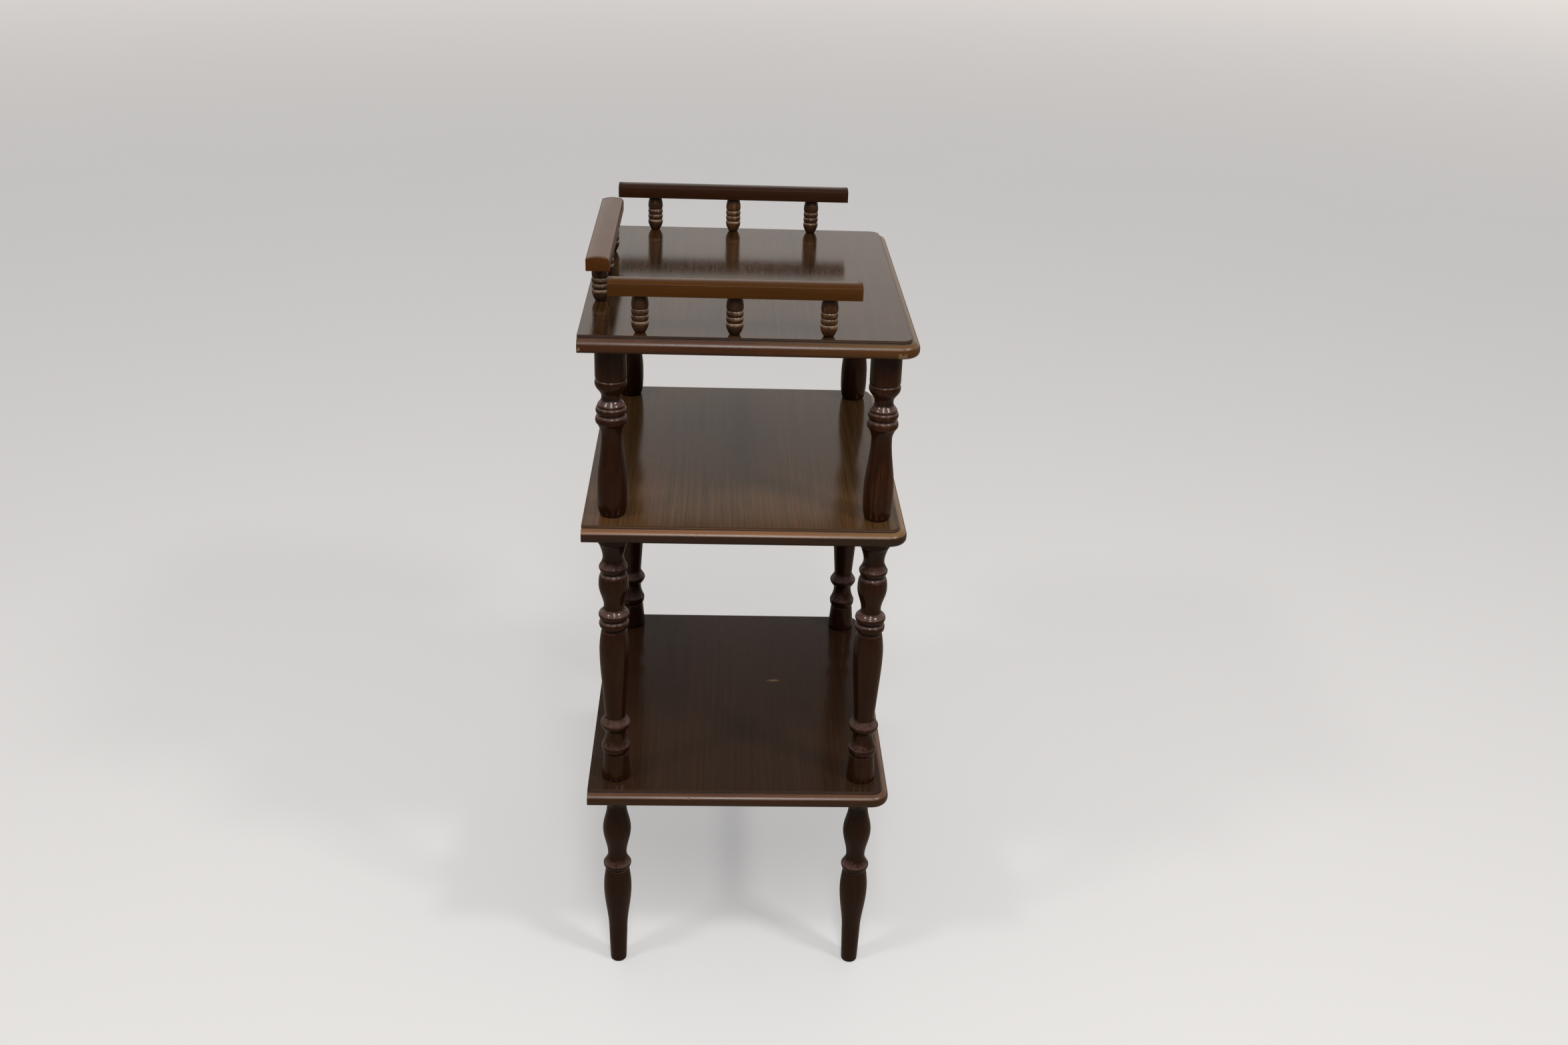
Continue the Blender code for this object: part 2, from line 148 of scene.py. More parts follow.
UPPER_ROWS = (
    ("dome", 0.130, 0.96),
    ("line", 0.165, 0.96),
    ("sweep", 0.478, 0.65),
    ("flare", 0.538, 0.86),
    ("belly", 0.558, 0.99),
    ("dome", 0.590, 0.86),
    ("line", 0.594, 0.79),
    ("line", 0.602, 0.90),
    ("belly", 0.616, 0.96),
    ("dome", 0.637, 0.87),
    ("line", 0.640, 0.84),
    ("line", 0.644, 0.86),
    ("belly", 0.668, 0.70),
    ("flare", 0.688, 0.59),
    ("line", 0.700, 0.59),
    ("flare", 0.728, 0.72),
    ("line", 0.740, 0.83),
    ("belly", 0.772, 0.99),
    ("dome", 0.794, 0.94),
    ("line", 0.797, 0.90),
    ("line", 0.801, 0.95),
    ("line", 0.810, 0.97),
    ("line", 1.000, 0.97),
)
SPINDLE_FOOT = 0.58
SPINDLE_ROWS = (
    ("belly", 0.250, 0.99),
    ("dome", 0.318, 0.85),
    ("bead", 0.475, 0.85),
    ("bead", 0.635, 0.85),
    ("dome", 0.715, 0.98),
    ("belly", 1.000, 0.76),
)
# The share of the radius that a bead stands out
BEAD_STAND_OUT = 0.15
BULGING = ("dome", "belly")
SLIM = ("belly", "flare")
CURVE_STEPS = {"line": 1, "sweep": 30, "dome": 12, "cove": 12, "belly": 14, "flare": 14,
               "bead": 14}

# How fine the meshes are
POST_SIDES = 56
SPINDLE_SIDES = 48
BORE_SIDES = 24
LINE_GAP = 0.12 * MM
LINE_TOLERANCE = 0.012 * MM
LONGEST_STEP = 4.0 * MM
CORNER_STEPS = 40
NOSE_STEPS = 14
CROWN_STEPS = 16
ROUND_STEPS = 8
EASE_STEPS = 4
RAIL_STEPS = 39
SHARP_ANGLE = math.radians(38)
# The least that a length counts as where something is divided by it
TINY = 1e-12
# A corner that turns less than this isn't eased, and an easing takes up to this share of a side
PLAIN_TURN = math.radians(25)
EASE_SHARE = 0.45

# How each piece's stain departs from the common one: below 0 darker and browner, above 0 redder.
# The posts' tones are in the order of the corners, and the spindles' in that of their numbers.
TONES = {"left_rail": 0.60, "right_rail": -0.55, "back_rail": 0.35,
         "bottom_shelf": -0.60, "middle_shelf": 0.50, "top_shelf": 0.00}
POST_TONES = {
    "leg": (-0.25, -0.15, -0.35, -0.10),
    "middle_column": (0.20, 0.00, 0.15, -0.10),
    "upper_column": (0.75, 0.30, 0.05, -0.20),
}
SPINDLE_TONES = {
    "left_rail": (0.80, -0.45, 0.40),
    "right_rail": (-0.20, 0.90, -0.35),
    "back_rail": (-0.80, 0.05, 0.15),
}
for kind, tones in POST_TONES.items():
    TONES.update({f"{kind}_{corner}": tone for corner, tone in zip(CORNERS, tones)})
for rail, tones in SPINDLE_TONES.items():
    TONES.update(zip(SPINDLES[rail], tones))

# Knocks in the shelves' mouldings: place, width, height and greatest depth
CHIPS = {
    "top_shelf": (
        ((-0.1888, 0.1482, 0.6935), 2.6 * MM, 3.2 * MM, 0.8 * MM),
        ((-0.1884, -0.1335, 0.6922), 9.0 * MM, 4.6 * MM, 0.6 * MM),
    ),
    "middle_shelf": (
        ((-0.1877, 0.0450, 0.5170), 1.8 * MM, 2.4 * MM, 0.4 * MM),
        ((-0.1890, -0.0624, 0.5130), 1.4 * MM, 1.8 * MM, 0.3 * MM),
    ),
    "bottom_shelf": (
        ((-0.1877, 0.0496, 0.2270), 1.5 * MM, 3.2 * MM, 0.5 * MM),
    ),
}
# How far apart the points of an edge lie at a knock, to how many of its widths on each side, and
# how near an edge a knock has to be to count there
KNOCK_GAP = 0.35 * MM
KNOCK_REACH = 1.6
KNOCK_RANGE = 6.0 * MM
# How fine the unevenness of a knock's rim and floor is, to the metre
KNOCK_RIM = 900
KNOCK_FLOOR = 2500
# How deep a knock has to be to show nothing but bare wood
BARE_DEPTH = 0.25 * MM

# Scratches in the shelves' faces: place, half-length, half-width and turn
SCRATCHES = {
    "bottom_shelf": (
        ((0.0318, -0.0400, 0), 3.2 * MM, 9.5 * MM, 0.05),
        ((0.1459, 0.0174, 0), 0.6 * MM, 2.0 * MM, 0.3),
    ),
    "middle_shelf": (
        ((-0.1560, -0.0950, 0), 0.5 * MM, 1.6 * MM, 0.6),
        ((-0.1600, 0.0930, 0), 0.4 * MM, 1.4 * MM, -0.4),
    ),
    "top_shelf": (),
}


def length_setting(name, description, default):
    """Return a length that a user can change."""
    return FloatProperty(name=name, description=description, default=default, min=0.0,
                         unit="LENGTH")


def share_setting(name, description, default):
    """Return a share that a user can change."""
    return FloatProperty(name=name, description=description, default=default, min=0.0, max=1.0,
                         subtype="FACTOR")


def angle_setting(name, description, default):
    """Return an angle that a user can change."""
    return FloatProperty(name=name, description=description, default=default, subtype="ANGLE")


def amount_setting(name, description, default):
    """Return a plain amount that a user can change."""
    return FloatProperty(name=name, description=description, default=default, min=0.0)


def colour_setting(name, description, default):
    """Return a colour that a user can change."""
    return FloatVectorProperty(name=name, description=description, default=default, min=0.0,
                               max=1.0, subtype="COLOR")


class ShelfSizes(bpy.types.PropertyGroup):
    """Sizes of the shelves' moulded edges."""

    corner_radius: length_setting("Corner radius", "Radius of each front corner", 0.0175)
    step_drop: length_setting("Step drop", "Height of the square step below the face", 0.0028)
    ledge_width: length_setting(
        "Ledge width", "Width of the flat ledge at the step's foot", 0.0008)
    nose_width: length_setting("Nose width", "How far the rounded nose reaches out", 0.0066)
    nose_drop: length_setting("Nose drop", "Height of the rounded nose", 0.0056)
    round_width: length_setting(
        "Lower rounding width", "Width of the rounding at the underside", 0.0034)
    round_height: length_setting(
        "Lower rounding height", "Height of the rounding at the underside", 0.0044)
    ease: length_setting(
        "Eased arris", "How far sanding and lacquer round each sharp arris", 0.00035)


class TurningSizes(bpy.types.PropertyGroup):
    """Sizes of the turned posts and spindles."""

    post_radius: length_setting(
        "Post radius", "Largest radius of a leg or column", POST_GIRTH / 2)
    spindle_radius: length_setting(
        "Spindle radius", "Radius that the spindles' outline is drawn to", 0.0078)
    bead_fullness: share_setting(
        "Bead fullness", "Share of a bead's stand-out that its crest reaches", 0.88)
    stud_bore: length_setting(
        "Stud bore radius", "Radius of the stud holes in the posts and shelves", 0.0043)
    stud_bore_depth: length_setting(
        "Stud bore depth", "Depth of the stud holes in the posts", 0.0228)
    pin_radius: length_setting(
        "Pin radius", "Radius of the pin at each end of a spindle", 0.0030)
    pin_length: length_setting(
        "Pin length", "Length of the pin at each end of a spindle", 0.0080)


class RailSizes(bpy.types.PropertyGroup):
    """Sizes of the gallery rails' section."""

    width: length_setting("Rail width", "Width of a rail", RAIL_GIRTH.y)
    side_height: length_setting(
        "Side height", "Height of a rail's square side", RAIL_GIRTH.z - RAIL_CROWN)
    crown: length_setting(
        "Crown", "How much higher the middle of the rail's top is", RAIL_CROWN)
    round_radius: length_setting(
        "Rounded arris", "Radius of the rail's rounded upper arris", 0.0040)
    ease: length_setting(
        "Eased arris", "How far sanding rounds the rail's other arrises", 0.00045)


class StainColours(bpy.types.PropertyGroup):
    """Colours of the stains, wear, painted sheen and painted shade, as they look in plain light."""

    veneer_dark: colour_setting(
        "Veneer, dark", "Colour of the veneer's dark streaks", (0.020, 0.0108, 0.0054))
    veneer_light: colour_setting(
        "Veneer, light", "Colour of the veneer's light streaks", (0.068, 0.042, 0.022))
    veneer_red: colour_setting(
        "Veneer, red", "Colour of the veneer's redder bands", (0.056, 0.023, 0.011))
    bottom_edging: colour_setting(
        "Bottom edging", "Colour of the bottom shelf's moulding", (0.082, 0.038, 0.022))
    middle_edging: colour_setting(
        "Middle edging", "Colour of the middle shelf's moulding", (0.150, 0.071, 0.035))
    top_edging: colour_setting(
        "Top edging", "Colour of the top shelf's moulding", (0.060, 0.029, 0.019))
    faded_edging: colour_setting(
        "Faded edging", "Colour that the mouldings fade to at the front", (0.112, 0.066, 0.026))
    post: colour_setting("Post", "Colour of the legs and columns", (0.0125, 0.0033, 0.0011))
    post_streak: colour_setting(
        "Post streak", "Colour of the legs' and columns' light streaks",
        (0.029, 0.0088, 0.0028))
    # Wear on the rings' crests, and a painted sheen on their upward flanks
    post_worn: colour_setting(
        "Post, worn", "Colour of the legs' and columns' worn rings", (0.105, 0.062, 0.054))
    spindle: colour_setting("Spindle", "Colour of the spindles", (0.022, 0.0092, 0.0046))
    spindle_streak: colour_setting(
        "Spindle streak", "Colour of the spindles' light streaks", (0.066, 0.026, 0.0085))
    # Wear on the beads' crests, and a painted sheen on their upward flanks
    spindle_worn: colour_setting(
        "Spindle, worn", "Colour of the spindles' worn beads", (0.240, 0.165, 0.105))
    rail: colour_setting("Rail", "Colour of the gallery rails", (0.044, 0.0145, 0.0008))
    bare_wood: colour_setting(
        "Bare wood", "Colour of the wood under a chip or scratch", (0.24, 0.145, 0.075))
    # Also the colour of painted shade, at the spindles' ends and along the mouldings' steps
    grime_and_shade: colour_setting(
        "Grime", "Colour of what has gathered in grooves", (0.006, 0.004, 0.003))


class StudioSetup(bpy.types.PropertyGroup):
    """The camera, lamps and backdrop."""

    camera_place: FloatVectorProperty(
        name="Camera place", description="Where the camera stands",
        default=(-1.50825, 0.02876, 1.15603), subtype="TRANSLATION")
    camera_yaw: angle_setting("Yaw", "Turn of the camera about Z, from +X", -0.04819314)
    camera_pitch: angle_setting("Pitch", "Tilt of the camera below the horizon", 0.44157440)
    camera_roll: angle_setting("Roll", "Turn of the camera about its own axis", 0.03640147)
    camera_lens: FloatProperty(
        name="Lens", description="Focal length, in millimetres, on a 36 mm wide sensor",
        default=36.828, min=1.0)
    backdrop: colour_setting("Backdrop", "Colour of the background", (0.800, 0.750, 0.710))
    floor: colour_setting(
        "Floor", "Colour of the floor, as the camera sees it", (0.420, 0.415, 0.411))
    floor_bounce: colour_setting(
        "Floor bounce", "Colour that the floor casts on the object", (0.230, 0.180, 0.120))
    floor_glow: colour_setting(
        "Floor glow", "What the camera's view of the floor is lightened by",
        (0.250, 0.254, 0.262))
    far_glow: colour_setting(
        "Far glow", "The same far off, where the floor meets the backdrop",
        (0.570, 0.530, 0.500))
    floor_gloss: share_setting("Floor in gloss", "Share of the pale floor that gloss shows", 0.10)
    room_dimness: share_setting(
        "Room dimness", "Share of the backdrop that gloss shows behind the camera", 0.20)
    sky_light: amount_setting("Sky light", "Strength of the even light from all round", 0.62)
    lamp_power: amount_setting("Lamp power", "Power of each ceiling lamp, in watts", 22.0)


class EtagereSettings(bpy.types.PropertyGroup):
    """All that a user would change."""

    shelf: PointerProperty(type=ShelfSizes)
    turning: PointerProperty(type=TurningSizes)
    rail: PointerProperty(type=RailSizes)
    stain: PointerProperty(type=StainColours)
    studio: PointerProperty(type=StudioSetup)


# Lines and meshes


def add_object(name, data):
    """Add an object to the scene and return it."""
    made = bpy.data.objects.new(name, data)
    bpy.context.scene.collection.objects.link(made)
    return made


def quarter_turn(steps):
    """Return the angles of a quarter turn from 0 up, in even steps."""
    return [step / steps * math.pi / 2 for step in range(steps + 1)]


def curve_shares(kind, way, widening):
    """Return the shares of a curve's radius and height change at a share of the way along it."""
    rising = math.sin(way * math.pi / 2)
    falling = 1 - math.cos(way * math.pi / 2)
    eased = (1 - math.cos(way * math.pi)) / 2
    if kind == "line":
        return way, way
    if kind == "sweep":
        return eased, way
    if kind == "bead":
        return eased, eased
    across, along = (rising, falling) if (kind in BULGING) == widening else (falling, rising)
    return across, way if kind in SLIM else along


def turned_line(foot, rows, length, radius, fullness):
    """Return the outer line of a turning, from its foot to its head, as radius and height."""
    points = [(foot * radius, 0.0)]
    for kind, height_share, radius_share in rows:
        start_radius, start_height = points[-1]
        end_radius, end_height = radius_share * radius, height_share * length
        stand_out = BEAD_STAND_OUT if kind == "bead" else 0
        for step in range(1, CURVE_STEPS[kind] + 1):
            way = step / CURVE_STEPS[kind]
            across, along = curve_shares(kind, way, end_radius > start_radius)
            swell = stand_out * radius * fullness * math.sin(way * math.pi)
            points.append((start_radius + (end_radius - start_radius) * across + swell,
                           start_height + (end_height - start_height) * along))
    return points


def ways_along(points):
    """Return how far along their line each of the points lies."""
    ways = [0.0]
    for before, after in zip(points, points[1:]):
        ways.append(ways[-1] + math.dist(before, after))
    return ways


def evenly_spaced(points, gap):
    """Return a line's points at even steps of about the gap along it."""
    points = np.array(points, float)
    ways = np.concatenate([[0], np.cumsum(np.linalg.norm(np.diff(points, axis=0), axis=1))])
    count = max(2, int(ways[-1] / gap) + 1)
    even = np.linspace(0, ways[-1], count)
    return np.stack([np.interp(even, ways, points[:, axis]) for axis in (0, 1)], axis=1)


def averaged(values, reach):
    """Return each value's mean over a bell of the given reach, in steps, with the ends held."""
    steps = np.arange(-3 * reach, 3 * reach + 1)
    bell = np.exp(-0.5 * (steps / reach) ** 2)
    padded = np.pad(values, ((3 * reach, 3 * reach), (0, 0)), mode="reflect", reflect_type="odd")
    columns = [np.convolve(padded[:, axis], bell / bell.sum(), mode="valid") for axis in (0, 1)]
    return np.stack(columns, axis=1)


def outward(points):
    """Return the direction across a line, to the right of the way it runs."""
    way = np.gradient(points, axis=0)
    way /= np.maximum(np.linalg.norm(way, axis=1, keepdims=True), TINY)
    return np.stack([way[:, 1], -way[:, 0]], axis=1)


def relief_of(points, reach, depth):
    """Return how far each point of an even line stands proud, 1 at a crest and -1 in a groove."""
    proud = ((points - averaged(points, reach)) * outward(points)).sum(axis=1)
    return np.clip(proud / depth, -1, 1)


def thinned(points, relief):
    """Return the points, and their relief, that a line needs to keep its shape."""
    kept = [0]
    end = 2
    while end < len(points):
        start = kept[-1]
        chord = points[end] - points[start]
        length = np.linalg.norm(chord)
        between = points[start + 1:end] - points[start]
        off = np.abs(between[:, 0] * chord[1] - between[:, 1] * chord[0]) / max(length, TINY)
        if off.max() > LINE_TOLERANCE or length > LONGEST_STEP:
            kept.append(end - 1)
        end += 1
    kept.append(len(points) - 1)
    return points[kept], relief[kept]


def softened_line(points, softness, relief_reach, relief_depth):
    """Round a line's arrises as sanding and lacquer do, and return it with its relief."""
    even = evenly_spaced(points, LINE_GAP)
    soft = averaged(even, max(1, round(softness / LINE_GAP)))
    relief = relief_of(soft, round(relief_reach / LINE_GAP), relief_depth)
    return thinned(soft, relief)


def mesh_of(name, points, faces, **values):
    """Make a mesh, smooth but for its sharp arrises, with a value at each point per keyword."""
    mesh = bpy.data.meshes.new(name)
    mesh.from_pydata([tuple(point) for point in points], [], faces)
    for key, numbers in values.items():
        numbers = np.asarray(numbers, np.float32)
        kind, field = ("FLOAT_VECTOR", "vector") if numbers.ndim > 1 else ("FLOAT", "value")
        mesh.attributes.new(key, kind, "POINT").data.foreach_set(field, numbers.ravel())
    mesh.shade_smooth()
    mesh.set_sharp_from_angle(angle=SHARP_ANGLE)
    mesh.validate()
    return mesh


def strip_faces(rows, width, closed=True):
    """Return the faces between rows of points that are each this wide, closed round or not."""
    faces = []
    for start in range(0, (rows - 1) * width, width):
        for index in range(width if closed else width - 1):
            following = (index + 1) % width
            faces.append((start + index, start + following, start + width + following,
                          start + width + index))
    return faces


def turned_mesh(name, line, relief, sides, place):
    """Turn a line of radius and height, which starts and ends on the axis, about a place."""
    points, reliefs, facings, rings = [], [], [], []
    upward = outward(np.array(line))[:, 1]
    for (radius, height), proud, up in zip(line, relief, upward):
        first = len(points)
        count = sides if radius else 1
        for side in range(count):
            angle = side * math.tau / sides
            points.append((place.x + radius * math.cos(angle), place.y + radius * math.sin(angle),
                           place.z + height))
        reliefs += [proud] * count
        facings += [up] * count
        rings.append([first + side % count for side in range(sides)])
    faces = []
    for lower, upper in zip(rings, rings[1:]):
        for side in range(sides):
            following = (side + 1) % sides
            corners = (lower[side], lower[following], upper[following], upper[side])
            faces.append(tuple(dict.fromkeys(corners)))
    tones = np.full(len(points), TONES[name])
    return mesh_of(name, points, faces, relief=reliefs, facing=facings, tone=tones)


def eased_points(points, reach):
    """Round each sharp corner of an open line by a short curve."""
    eased = [points[0]]
    for before, corner, after in zip(points, points[1:], points[2:]):
        before, corner, after = Vector(before), Vector(corner), Vector(after)
        back, ahead = before - corner, after - corner
        if back.angle(-ahead, 0.0) < PLAIN_TURN:
            eased.append(tuple(corner))
            continue
        start = corner + back.normalized() * min(reach, back.length * EASE_SHARE)
        end = corner + ahead.normalized() * min(reach, ahead.length * EASE_SHARE)
        for step in range(EASE_STEPS + 1):
            way = step / EASE_STEPS
            eased.append(tuple(start.lerp(corner, way).lerp(corner.lerp(end, way), way)))
    eased.append(points[-1])
    return eased


def place_piece(name, mesh, materials):
    """Put a finished mesh in for the CAD node of its name."""
    piece = add_object(f"{name}_piece", mesh)
    for material in materials:
        mesh.materials.append(material)
    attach(piece, "root")
    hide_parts(name)
    return piece


def upright_cylinders(holes):
    """Return the points and faces of closed cylinders, each as x, y, foot, head and radius."""
    points, faces = [], []
    for x, y, foot, head, radius in holes:
        first = len(points)
        for height in (foot, head):
            for side in range(BORE_SIDES):
                angle = side * math.tau / BORE_SIDES
                points.append((x + radius * math.cos(angle), y + radius * math.sin(angle), height))
        sides = range(BORE_SIDES)
        caps = [list(reversed(sides)), [BORE_SIDES + side for side in sides]]
        faces += [[first + index for index in face] for face in caps + strip_faces(2, BORE_SIDES)]
    return points, faces


def pin_hole(spindle, foot, head, turning):
    """Return a hole for a spindle's pin, from one height up to another."""
    pin = node_middle(spindle)
    return pin.x, pin.y, foot, head, turning.pin_radius + PIN_CLEARANCE


def drill(piece, holes):
    """Cut upright holes out of a piece and keep the result as its mesh."""
    points, faces = upright_cylinders(holes)
    mesh = bpy.data.meshes.new("drill")
    mesh.from_pydata(points, [], faces)
    cutter = add_object("drill", mesh)
    modifier = piece.modifiers.new("holes", "BOOLEAN")
    modifier.operation = "DIFFERENCE"
    modifier.solver = "EXACT"
    modifier.object = cutter
    drilled = piece.evaluated_get(bpy.context.evaluated_depsgraph_get())
    old = piece.data
    piece.data = bpy.data.meshes.new_from_object(drilled)
    piece.data.name = old.name
    piece.modifiers.remove(modifier)
    bpy.data.meshes.remove(old)
    bpy.data.objects.remove(cutter)
    bpy.data.meshes.remove(mesh)


# Finishes

# How strongly each lacquer mirrors
SHELF_IORS = {"bottom_shelf": 1.42, "middle_shelf": 1.325, "top_shelf": 1.44}
EDGING_IORS = {"bottom_shelf": 1.42, "middle_shelf": 1.38, "top_shelf": 1.36}
RAIL_IORS = {"left_rail": 1.30, "back_rail": 1.45, "right_rail": 1.25}
RAIL_END_IOR = 1.22


class Wire:
    """A shader socket that can be reckoned with.

    An expression on values adds Math nodes, and one with a vector or colour in it adds Vector
    Math nodes.
    """

    def __init__(self, finish, socket):
        self.finish = finish
        self.socket = socket

    def reckon(self, operation, *sides):
        """Add the node that does one operation on the sides."""
        plain = all(side.socket.type == "VALUE" if isinstance(side, Wire)
                    else isinstance(side, (int, float)) for side in sides)
        kind = "ShaderNodeMath" if plain else "ShaderNodeVectorMath"
        if not plain:
            sides = [(side,) * 3 if isinstance(side, (int, float)) else side for side in sides]
        return self.finish.node(kind, {"operation": operation}, dict(enumerate(sides)))

    def __add__(self, other):
        return self.reckon("ADD", self, other)

    def __radd__(self, other):
        return self.reckon("ADD", other, self)

    def __sub__(self, other):
        return self.reckon("SUBTRACT", self, other)

    def __rsub__(self, other):
        return self.reckon("SUBTRACT", other, self)

    def __mul__(self, other):
        return self.reckon("MULTIPLY", self, other)

    def __rmul__(self, other):
        return self.reckon("MULTIPLY", other, self)

    def length(self):
        """Return the length of a vector."""
        return self.finish.node("ShaderNodeVectorMath", {"operation": "LENGTH"}, {0: self},
                                "Value")

    def between(self, low, high):
        """Return 0 up to the low value, 1 from the high one and a smooth rise between them."""
        settings = {"interpolation_type": "SMOOTHSTEP"}
        inputs = {"Value": self, "From Min": low, "From Max": high}
        return self.finish.node("ShaderNodeMapRange", settings, inputs)

    def mixed(self, other, share):
        """Return this colour with the given share of another mixed in."""
        return self.finish.mix(share, self, other)


class Shading:
    """A node tree with its shader, and what is reckoned in it."""

    def __init__(self, tree, shader):
        self.tree = tree
        self.shader = tree.nodes[shader]

    def node(self, kind, settings=None, inputs=None, output=0):
        """Add a node: its settings first, then its sockets' values or links."""
        made = self.tree.nodes.new(kind)
        for name, value in (settings or {}).items():
            setattr(made, name, value)
        for key, value in (inputs or {}).items():
            self.plug(made.inputs[key], value)
        return Wire(self, made.outputs[output])

    def plug(self, socket, value):
        """Give a socket its link or value."""
        if isinstance(value, Wire):
            self.tree.links.new(value.socket, socket)
        elif socket.type == "RGBA" and len(value) == 3:
            socket.default_value = (*value, 1)
        else:
            socket.default_value = value

    def feed(self, name, value):
        """Feed one of the shader's own sockets."""
        self.plug(self.shader.inputs[name], value)

    def mix(self, share, first, second):
        """Return one colour with a share of another mixed in."""
        return self.node("ShaderNodeMix", {"data_type": "RGBA"},
                         {0: share, 6: first, 7: second}, 2)

    def value(self, name):
        """Return a value that the mesh holds at its points."""
        return self.node("ShaderNodeAttribute", {"attribute_name": name}, output="Fac")

    def direction(self, name):
        """Return a vector that the mesh holds at its points."""
        return self.node("ShaderNodeAttribute", {"attribute_name": name}, output="Vector")

    def part(self, vector, axis):
        """Return one part of a vector."""
        return self.node("ShaderNodeSeparateXYZ", inputs={"Vector": vector}, output=axis)

    def place(self):
        """Return the place on the object, in metres."""
        return self.node("ShaderNodeTexCoord", output="Object")

    def noise(self, way, stretch, detail=2.0, roughness=0.5, distortion=0.0):
        """Return noise from 0 to 1 whose blotches come this many to the metre along each axis."""
        inputs = {"Vector": way * stretch, "Scale": 1.0, "Detail": detail,
                  "Roughness": roughness, "Distortion": distortion}
        return self.node("ShaderNodeTexNoise", inputs=inputs)

    def emboss(self, *layers):
        """Raise the surface by layers of bumps, each a height from 0 to 1 and its depth."""
        inputs = {"Strength": 1.0}
        for height, depth in layers:
            inputs.update({"Distance": depth, "Height": height})
            inputs["Normal"] = self.node("ShaderNodeBump", inputs=inputs)
        self.feed("Normal", inputs["Normal"])

    def ray(self, kind):
        """Return 1 for light paths of one kind and 0 for the rest."""
        return self.node("ShaderNodeLightPath", output=f"Is {kind} Ray")


class Finish(Shading):
    """A material, and the nodes that make it."""

    def __init__(self, name, roughness=0.3, metallic=0.0, ior=1.5):
        self.material = bpy.data.materials.new(name)
        self.material.use_nodes = True
        super().__init__(self.material.node_tree, "Principled BSDF")
        self.feed("Roughness", roughness)
        self.feed("Metallic", metallic)
        self.feed("IOR", ior)


def scaled(colour, factor):
    """Return a colour lightened or darkened by a factor."""
    return tuple(part * factor for part in colour)


# The veneer's figure, to the metre along X, Y and Z
VENEER_BENDS = (3, 9, 12)
VENEER_STREAKS = (5, 360, 90)
VENEER_FIBRES = (22, 1500, 90)
VENEER_BANDS = (1.3, 38, 12)
VENEER_CLOUDS = (9, 12, 12)
VENEER_PORES = (60, 3200, 90)
VENEER_SMUDGES = (28, 40, 12)
VENEER_SWELLS = (60, 90, 12)
# How far sideways its streaks bend, and how deep its grain and its swells are
VENEER_BENDING = 12.0 * MM
VENEER_GRAIN_DEPTH = 0.008 * MM
VENEER_SWELL_DEPTH = 0.03 * MM

# How each shelf's veneer departs from the common one: its figure's strength and its tint
VENEER_FIGURES = {"bottom_shelf": 0.9, "middle_shelf": 1.6, "top_shelf": 2.3}
VENEER_TINTS = {"bottom_shelf": (0.52, 0.42, 0.42), "middle_shelf": (1.24, 1.07, 0.80),
                "top_shelf": (0.60, 0.46, 0.30)}


def veneer_finish(name, colours, scratches):
    """Return the dark straight-grained veneer of one shelf's face, under satin lacquer."""
    finish = Finish(f"{name}_veneer", ior=SHELF_IORS[name])
    place = finish.place()
    bend = finish.noise(place, VENEER_BENDS, 1.0)
    way = place + (bend - 0.5) * (0, VENEER_BENDING, 0)
    streaks = finish.noise(way, VENEER_STREAKS, 3.0, 0.6)
    fibres = finish.noise(way, VENEER_FIBRES, 2.0, 0.6)
    bands = finish.noise(way, VENEER_BANDS, 2.0, 0.55)
    clouds = finish.noise(place, VENEER_CLOUDS, 2.0)
    pores = finish.noise(way, VENEER_PORES, 1.0).between(0.60, 0.70)
    tone = finish.value("tone")

    shade = streaks * 0.45 + fibres * 0.30 + bands * 0.15 + clouds * 0.10 - 0.5
    share = shade * (VENEER_FIGURES[name] * 2.0) + 0.5
    colour = finish.mix(share, colours.veneer_dark, colours.veneer_light)
    redness = (bands + tone * 0.10 + streaks * 0.3).between(0.55, 1.0)
    colour = colour.mixed(colours.veneer_red, redness * 0.45)
    colour = colour * VENEER_TINTS[name]
    colour = colour.mixed(colours.grime_and_shade, pores * 0.35)
    wear = scratch_mask(finish, place, scratches)
    if wear:
        colour = colour.mixed(colours.bare_wood, wear * 0.5)
    finish.feed("Base Color", colour)

    smudge = finish.noise(place, VENEER_SMUDGES, 3.0)
    dullness = fibres * 0.6 + smudge * 0.4
    finish.feed("Roughness", dullness * 0.07 + 0.095)
    grain = fibres * 0.5 + streaks * 0.5 - pores * 0.5
    swell = finish.noise(place, VENEER_SWELLS, 1.0)
    finish.emboss((grain, VENEER_GRAIN_DEPTH), (swell, VENEER_SWELL_DEPTH))
    return finish.material


def scratch_mask(finish, place, scratches):
    """Return 1 along each scratch, given as a place and its half-length, half-width and turn."""
    mask = None
    for centre, half_length, half_width, turn in scratches:
        inputs = {"Vector": place - centre, "Rotation": (0, 0, -turn)}
        local = finish.node("ShaderNodeMapping", {"vector_type": "POINT"}, inputs)
        reach = (local * (1 / half_length, 1 / half_width, 0)).length()
        rag = finish.noise(place, 900, 1.0)
        one = (reach + (rag - 0.5) * 0.9).between(1.0, 0.10)
        mask = one if mask is None else mask + one
    return mask


# A moulding's figure, to the metre along it and across it, and how deep its grain and ripples are
EDGING_STREAKS = (14, 900, 900)
EDGING_BANDS = (5, 60, 60)
EDGING_GRAIN_DEPTH = 0.01 * MM
EDGING_RIPPLE_DEPTH = 0.06 * MM
# The fibres of a knock's bare wood, to the metre along X, Y and Z
BARE_FIBRES = (2200, 2200, 900)
# Over which stretch across the moulding, from inside the face, the painted shade along its step ends
# and the painted shade of its lower half starts
EDGING_STEP_SHADE = (0.9 * MM, 2.4 * MM)
EDGING_SHADED_FOOT = (9.5 * MM, 12.0 * MM)
# From where to where along Y the mouldings fade towards the front, and by how much each does
EDGING_FADE = (0.02, -0.15)
EDGING_FADES = {"bottom_shelf": 0.10, "middle_shelf": 0.55, "top_shelf": 0.60}
